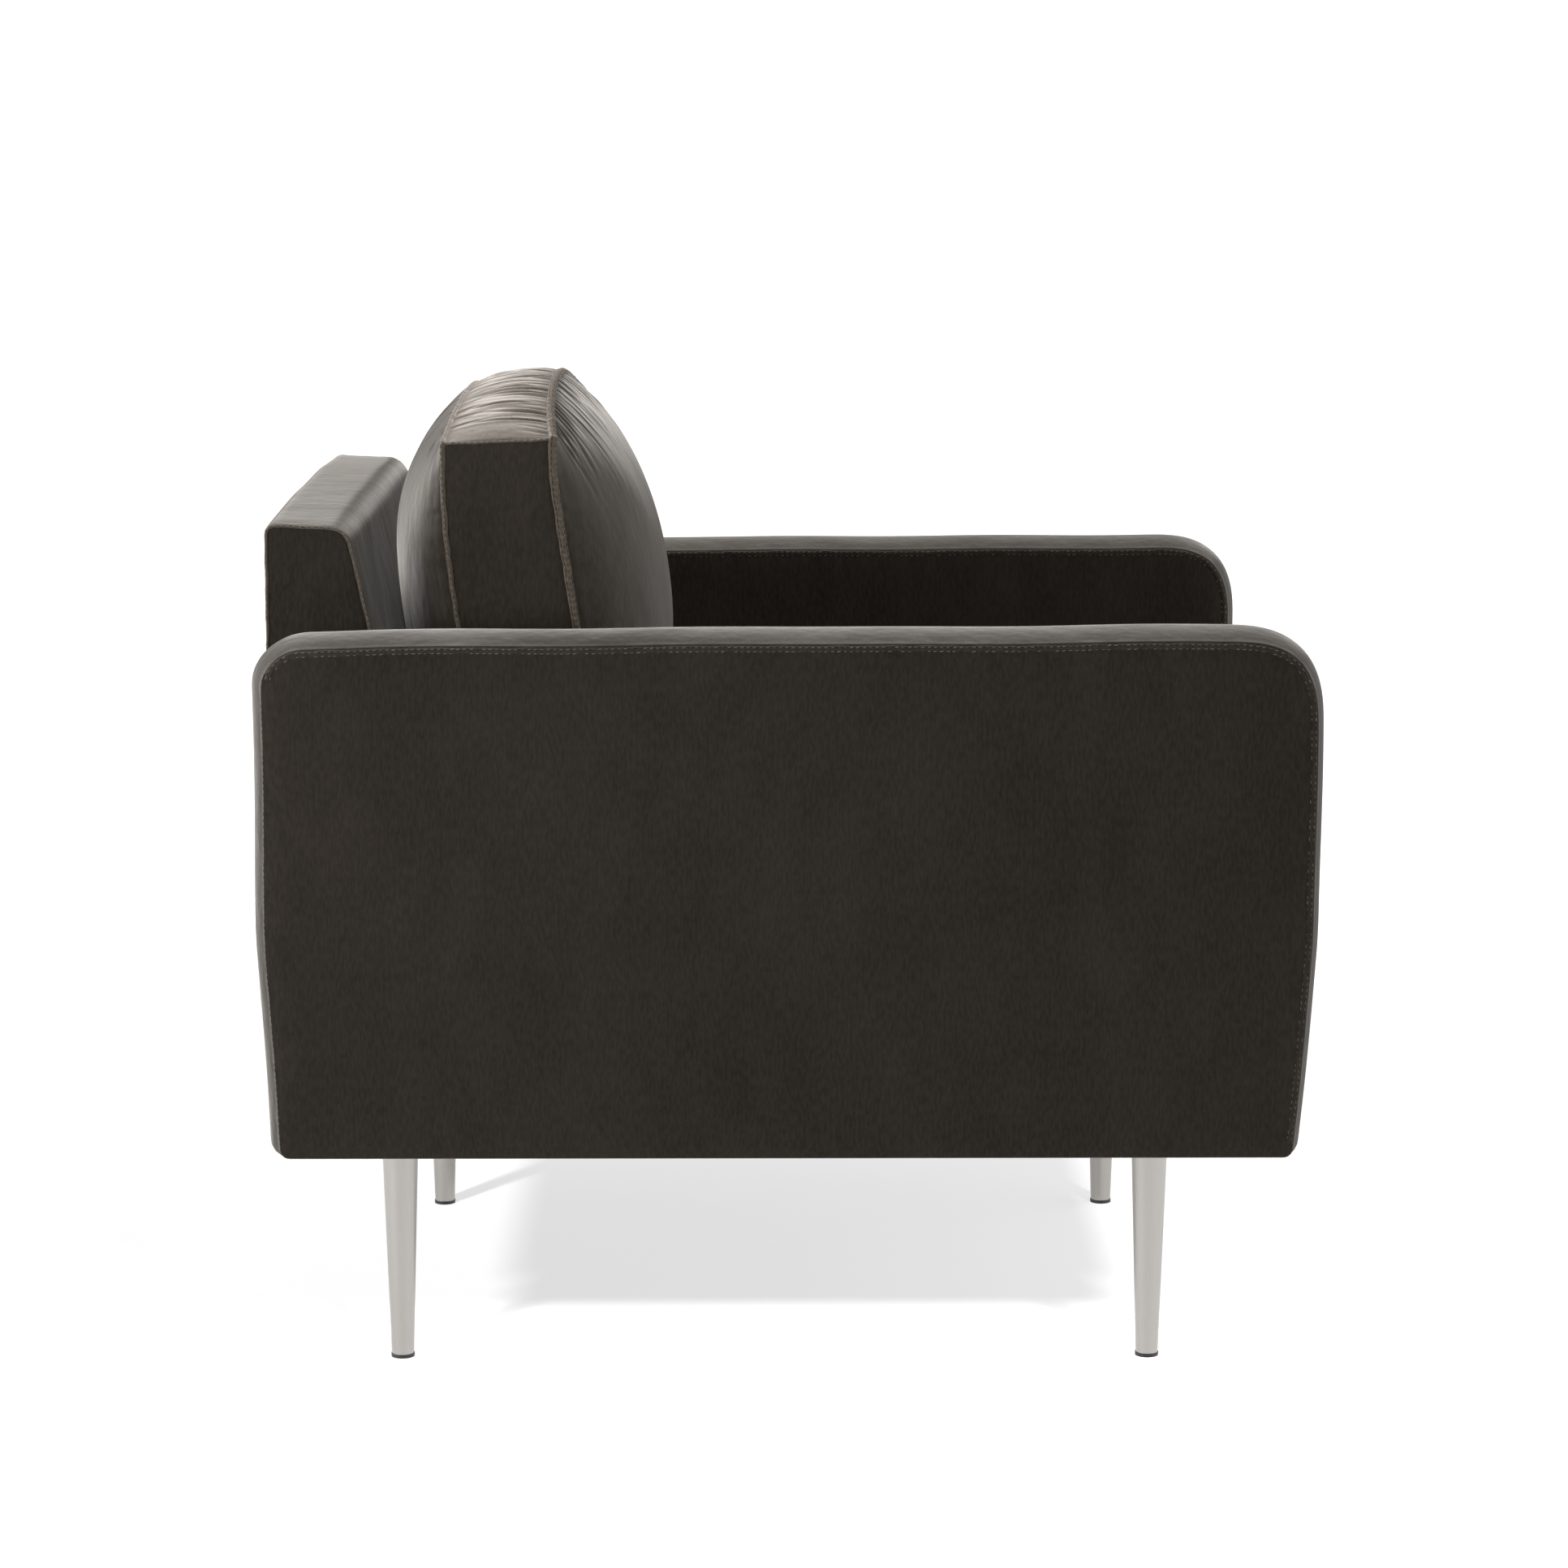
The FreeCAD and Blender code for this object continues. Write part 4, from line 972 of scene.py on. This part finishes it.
def back_cushion():
    """The thick cushion that leans on the back: crowned panels, a gathered top strip and raised seams."""
    nodes = ["back_cushion_cover", "back_cushion_filling"]
    low, high = span_of(*nodes)
    centre = (low + high) / 2
    up = np.array([0, math.sin(LEAN), math.cos(LEAN)])
    behind = np.array([0, math.cos(LEAN), -math.sin(LEAN)])
    across = np.array([1.0, 0, 0])
    seat_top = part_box("seat_cushion_cover")[1][2]
    face_low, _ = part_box("back_inside_cover")

    def shape(params):
        a, n, b = params.T
        middle = 1 - a**2
        upper = np.maximum(b, 0) ** 3
        slant = (5 * MM * (n + 1) - 4 * MM) * (1 - middle)
        rise = np.where(b > 0, BACK_SEAM_RISE * middle, BACK_SEAM_RISE - 8 * MM * (1 - middle))
        tall = BACK_SEAM_END + rise + slant * upper
        pull = np.abs(b) ** 3
        front_seam = FRONT_SEAM - (0.5 * MM + 5 * MM * a**4) * np.maximum(b, 0) ** 8
        rear_seam = REAR_SEAM - (11 * MM + 8 * MM * middle) * pull
        depth = front_seam + (n + 1) / 2 * (rear_seam - front_seam)
        depth = depth - FRONT_SWELL * pillow(a) * pillow(b, 2.3, 0.86) * (n < -ON_SIDE)
        depth = depth + REAR_SWELL * pillow(a) * pillow(b) * (n > ON_SIDE)
        height = b * tall
        on_ends = np.abs(b) > ON_SIDE
        height = height + np.sign(b) * on_ends * 7 * MM * (1 - n**2) * pillow(a, 7, 0.5)
        side = a * (BACK_HALF_WIDTH + 3 * MM * (1 - b**2) * (1 - n**2) * (np.abs(a) > ON_SIDE))
        return centre + np.outer(side, across) + np.outer(height, up) + np.outer(depth, behind)

    top_places = uneven(-0.247, 0.275, 15 * MM, 4)
    front_places = uneven(-0.262, 0.272, 13 * MM, 6)
    rear_places = uneven(-0.262, 0.27, 17 * MM, 9)
    corners = [-0.286, -0.277, -0.268, 0.268, 0.277, 0.286]

    def detail(params, points):
        """Gathers along the top seams, and shallow irregular hollows on the big panels."""
        a, n, b = params.T
        z = points[:, 2]
        x = a * BACK_HALF_WIDTH
        tall = BACK_SEAM_END + BACK_SEAM_RISE * (1 - a**2)
        total = np.zeros(len(params))
        top = b > ON_SIDE
        gap = 85 * MM
        from_front = (n + 1) / 2 * gap
        folds = creases(x, from_front, top_places, 11, 80 * MM, 2.6 * MM, 1.7 * MM)
        folds = folds + creases(x, gap - from_front, top_places[::2], 12, 45 * MM, 1.9 * MM, 1.7 * MM)
        folds = folds + creases(x, from_front, corners, 15, 15 * MM, 1.6 * MM, 1.5 * MM, 0.3)
        total += top * folds * (1 - np.abs(n) ** 16)
        front = n < -ON_SIDE
        from_top = (1 - b) * tall
        below = b < ON_SIDE
        total += front * below * creases(x, from_top, front_places, 13, 40 * MM, 2.1 * MM, 1.7 * MM, 0.2)
        rear = n > ON_SIDE
        total += rear * below * creases(x, from_top, rear_places, 14, 32 * MM, 1.6 * MM, 1.9 * MM, 0.2)
        big = (front | rear) * pillow(a) * pillow(b)
        hollows = wave(x + 0.3 * z, (0.21, 0.33, 0.14), 31)
        hollows = hollows * wave(z, (0.19, 0.27), 32)
        total += big * 2.2 * MM * hollows
        beside = (front | rear) * (1 - np.abs(a)) * BACK_HALF_WIDTH
        pucker_places = uneven(0.45, 0.78, 15 * MM, 16)
        puckers = creases(z, beside, pucker_places, 17, 16 * MM, 1.3 * MM, 2.2 * MM)
        total += (front | rear) * (np.abs(a) < ON_SIDE) * np.abs(a) ** 6 * puckers
        ends = np.abs(a) > ON_SIDE
        total += ends * 0.8 * MM * wave(z, (0.11, 0.17), 33) * (1 - n**4)
        return total

    def limit(points):
        """Rests on the seat cushion and leans on the back without cutting into either."""
        moved = points.copy()
        floor = seat_top + 1.2 * MM
        moved[:, 2] = floor + softplus(moved[:, 2] - floor, 5 * MM)
        face = face_low[1] + (moved[:, 2] - face_low[2]) * math.tan(BACK_RAKE) - 1.5 * MM
        moved[:, 1] = face - softplus(face - moved[:, 1], 5 * MM)
        return zip_slot(moved, "back_cushion_zip", axis=2, sign=-1)

    body = "back_cushion"
    grids = {"coarse": (60, 12, 40), "fine": (380, 44, 150)}
    cushion = Cushion("back_cushion_skin", body, shape, detail, limit, **grids, painted_light_top=PAINTED_LIGHT_GUSSET)
    cushion.build(nodes, fill=0.75)
    front_seam, rear_seam = cushion.seam_loop(1, -1), cushion.seam_loop(1, 1)
    topstitched("back_cushion_front", body, [front_seam], 7.2 * MM, 2.6 * MM, 0.35, LIT_SEAM_VELVET)
    welted("back_cushion_rear", body, [rear_seam], 4.6 * MM, 2.0 * MM, 0.3, LIT_SEAM_VELVET)
    joins = [cushion.line(cushion.sides[(0, sign)][:, -1]) for sign in (-1, 1)]
    welted("back_cushion_end", body, joins, 2.2 * MM, 0.7 * MM, 0.3, LIT_SEAM_VELVET)


def zip_slot(points, node, axis, sign):
    """Sinks the skin round a zip that lies along X on the side that faces along axis by sign."""
    low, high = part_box(node)
    inner, outer = (low, high) if sign > 0 else (high, low)
    other = 3 - axis
    facing = sign * (points[:, axis] - inner[axis]) > 0
    slot = groove(points[:, 0], points[:, other], (low[0], high[0]), (low[other], high[other]))
    points[:, axis] += slot * facing * (outer[axis] - sign * ZIP_DEPTH - points[:, axis])
    return points


def groove(along, across, length, width):
    """1 in a long narrow slot and 0 outside it, with soft sides."""
    middle = (width[0] + width[1]) / 2
    half = (width[1] - width[0]) / 2 + 1 * MM
    inside = np.clip((half + 2.5 * MM - np.abs(across - middle)) / (2.5 * MM), 0, 1)
    reach = np.clip(np.minimum(along - length[0] + 4 * MM, length[1] + 4 * MM - along) / (4 * MM), 0, 1)
    return inside * reach


def softplus(value, width):
    """value where it is positive, easing to zero over width below it."""
    eased = width * np.log1p(np.exp(np.minimum(value, 4 * width) / width))
    return np.where(value > 4 * width, value, eased)


# ---- seat cushion


def seat_cushion():
    """The loose seat cushion: a boxed slab with crowned top and bottom."""
    nodes = ["seat_cushion_cover", "seat_cushion_filling"]
    low, high = span_of(*nodes)
    centre = (low + high) / 2
    half = (high - low) / 2
    top_border = 47 * MM
    bottom_border = 63 * MM

    def shape(params):
        a, b, n = params.T
        corner = 1 - 0.018 * (np.abs(a) * np.abs(b)) ** 8
        x = a * (half[0] - 4 * MM) * corner
        y = b * (half[1] - 4 * MM) * corner
        border = np.where(n > 0, top_border, bottom_border)
        z = n * border
        sides = 1 - n**2
        x = x + np.sign(a) * (np.abs(a) > ON_SIDE) * 1.5 * MM * sides * pillow(b, 8, 0.5)
        y = y + np.sign(b) * (np.abs(b) > ON_SIDE) * 4 * MM * sides * pillow(a, 8, 0.5)
        panel = np.abs(n) > ON_SIDE
        swell = half[2] - border - np.where(n > 0, 5 * MM, 0)
        z = z + np.sign(n) * panel * swell * pillow(a, 4, 0.62) * pillow(b, 4.5, 0.62)
        return centre + np.stack([x, y, z], axis=1)

    def detail(params, points):
        a, b, n = params.T
        x, y, _ = points.T
        panel = (np.abs(n) > ON_SIDE) * pillow(a) * pillow(b)
        total = panel * 1.2 * MM * wave(x, (0.23, 0.31), 41) * wave(y, (0.27, 0.41), 42)
        sides = (np.abs(n) < ON_SIDE) * (1 - n**4)
        return total + sides * 0.8 * MM * wave(x + y, (0.12, 0.19, 0.07), 43)

    def limit(points):
        """Stays inside its own box, with a slot for the zip in the rear face."""
        moved = low + softplus(points - low, 3 * MM)
        moved = high - softplus(high - moved, 3 * MM)
        return zip_slot(moved, "seat_cushion_zip", axis=1, sign=1)

    body = "seat_cushion"
    grids = {"coarse": (50, 58, 12), "fine": (150, 170, 44)}
    cushion = Cushion("seat_cushion_skin", body, shape, detail, limit, **grids)
    cushion.build(nodes, fill=0.85)
    topstitched("seat_cushion", body, [cushion.seam_loop(2, 1), cushion.seam_loop(2, -1)])


# ---- stage

CAMERA_PLACE = (-3.972, 0.025, 1.096)
CAMERA_PITCH = math.radians(9.17)
CAMERA_YAW = math.radians(-0.34)
LENS = 102.5

WHITE = (1, 1, 1, 1)
FLOOR_REACH = 30
FLOOR_GLOW = 0.70
HORIZON_GLOW = 1.1
SHADOW_TURNS = (math.radians(-24), math.radians(31))
SHADOW_RISE = 0.71
SHADOW_POWER = 5.4
SHADOW_SOFTNESS = math.radians(5)

# The room's own light, everywhere and then towards each direction.
ROOM = 0.01
ROOM_GLOW = (((0, -1, 0), 2.7), ((0, 0, -1), 1.0))
GLOW_EDGE = 0.3

# Each lamp's name, place, aim, width in metres and watts.
LAMPS = (
    ("key_light", (1.4, 1.4, 2.6), (0, 0, 0.6), 1.4, 135),
    ("overhead_light", (0, 0.2, 3.0), (0, 0.2, 0), 1.2, 12),
    ("rear_light", (0, 3.0, 0.9), (0, 0, 0.6), 1.2, 42),
    ("side_light", (-1.8, 2.4, 0.9), (0, 0, 0.6), 1.2, 66),
)


def camera():
    data = bpy.data.cameras.new("camera")
    data.lens = LENS
    data.sensor_width = 36
    data.clip_end = 60
    level = math.cos(CAMERA_PITCH)
    ahead, aside = level * math.cos(CAMERA_YAW), level * math.sin(CAMERA_YAW)
    forward = Vector((ahead, aside, -math.sin(CAMERA_PITCH)))
    bpy.context.scene.camera = placed("camera", data, CAMERA_PLACE, forward)


def placed(name, data, place, direction):
    """A camera or lamp that looks in a direction."""
    holder = bpy.data.objects.new(name, data)
    holder.location = place
    holder.rotation_euler = direction.to_track_quat("-Z", "Y").to_euler()
    bpy.context.scene.collection.objects.link(holder)
    return holder


def soft_light(name, place, aim, size, power):
    """A large square lamp that lights the chair and leaves the floor alone."""
    data = bpy.data.lights.new(name, "AREA")
    data.shape = "RECTANGLE"
    data.size = data.size_y = size
    data.energy = power
    lamp = placed(name, data, place, Vector(aim) - Vector(place))
    spared = bpy.data.collections.new(f"spared_by_{name}")
    spared.objects.link(bpy.data.objects["floor"])
    spared.collection_objects[0].light_linking.link_state = "EXCLUDE"
    lamp.light_linking.receiver_collection = spared


def sweep():
    """A white floor and horizon that light nothing, and two lamps that only draw the floor's shadow."""
    material, tree, shader, place = new_material("studio_floor")
    tone = ramp(tree, noise(tree, place, 3, 2), 0.2, 0.8, (0.29,) * 3, (0.31,) * 3)
    tree.links.new(tone, shader.inputs["Base Color"])
    set_inputs(shader, {"Roughness": 1.0, "Specular IOR Level": 0.0})
    set_inputs(shader, {"Emission Color": WHITE, "Emission Strength": FLOOR_GLOW})
    reach = FLOOR_REACH
    corners = [(-reach, -reach, 0), (reach, -reach, 0), (reach, reach, 0), (-reach, reach, 0)]
    ground = add_mesh("floor", np.array(corners, float), [(0, 1, 2, 3)], material)
    white, _, glow, _ = new_material("studio_horizon")
    set_inputs(glow, {"Base Color": WHITE, "Emission Color": WHITE, "Emission Strength": HORIZON_GLOW})
    wall = [(x, y, z) for z in (-0.5, 12) for x, y, _ in corners]
    sides = [(k, (k + 1) % 4, (k + 1) % 4 + 4, k + 4) for k in range(4)]
    horizon = add_mesh("horizon", np.array(wall, float), sides, white)
    for piece in (ground, horizon):
        piece.visible_diffuse = False
    horizon.visible_glossy = False
    horizon.visible_shadow = False
    lit = bpy.data.collections.new("lit_by_shadow_lamps")
    lit.objects.link(ground)
    for turn in SHADOW_TURNS:
        data = bpy.data.lights.new("shadow_lamp", "SUN")
        data.energy = SHADOW_POWER
        data.angle = SHADOW_SOFTNESS
        place = Vector((-1, math.tan(turn), SHADOW_RISE))
        lamp = placed("shadow_lamp", data, place, -place)
        lamp.light_linking.receiver_collection = lit


def studio():
    """A dark room that glows in front of the chair and below it, with soft lamps round the chair."""
    world = bpy.data.worlds.new("studio")
    world.use_nodes = True
    tree = world.node_tree
    direction = tree.nodes.new("ShaderNodeTexCoord")
    strengths = []
    for toward, strength in ROOM_GLOW:
        facing = tree.nodes.new("ShaderNodeVectorMath")
        facing.operation = "DOT_PRODUCT"
        facing.inputs[1].default_value = toward
        tree.links.new(direction.outputs["Generated"], facing.inputs[0])
        lobe = tree.nodes.new("ShaderNodeMapRange")
        set_inputs(lobe, {"From Min": GLOW_EDGE, "To Min": ROOM, "To Max": strength})
        tree.links.new(facing.outputs["Value"], lobe.inputs["Value"])
        strengths.append(lobe.outputs["Result"])
    both = tree.nodes.new("ShaderNodeMath")
    both.operation = "ADD"
    for strength, socket in zip(strengths, both.inputs):
        tree.links.new(strength, socket)
    tree.links.new(both.outputs["Value"], tree.nodes["Background"].inputs["Color"])
    bpy.context.scene.world = world
    bpy.context.scene.view_settings.view_transform = "Standard"
    sweep()
    for lamp in LAMPS:
        soft_light(*lamp)


camera()
studio()
finish_cad_nodes()
arm("left")
arm("right")
back_frame()
front_rail()
deck, deck_flat = taut_sheet("deck_cloth_sheet", "deck_cloth", "deck_cloth", DECK_SAG, 51)
under, under_flat = taut_sheet("dust_cover_sheet", "dust_cover", "dust_cloth", 0, 55)
seat_cushion()
back_cushion()
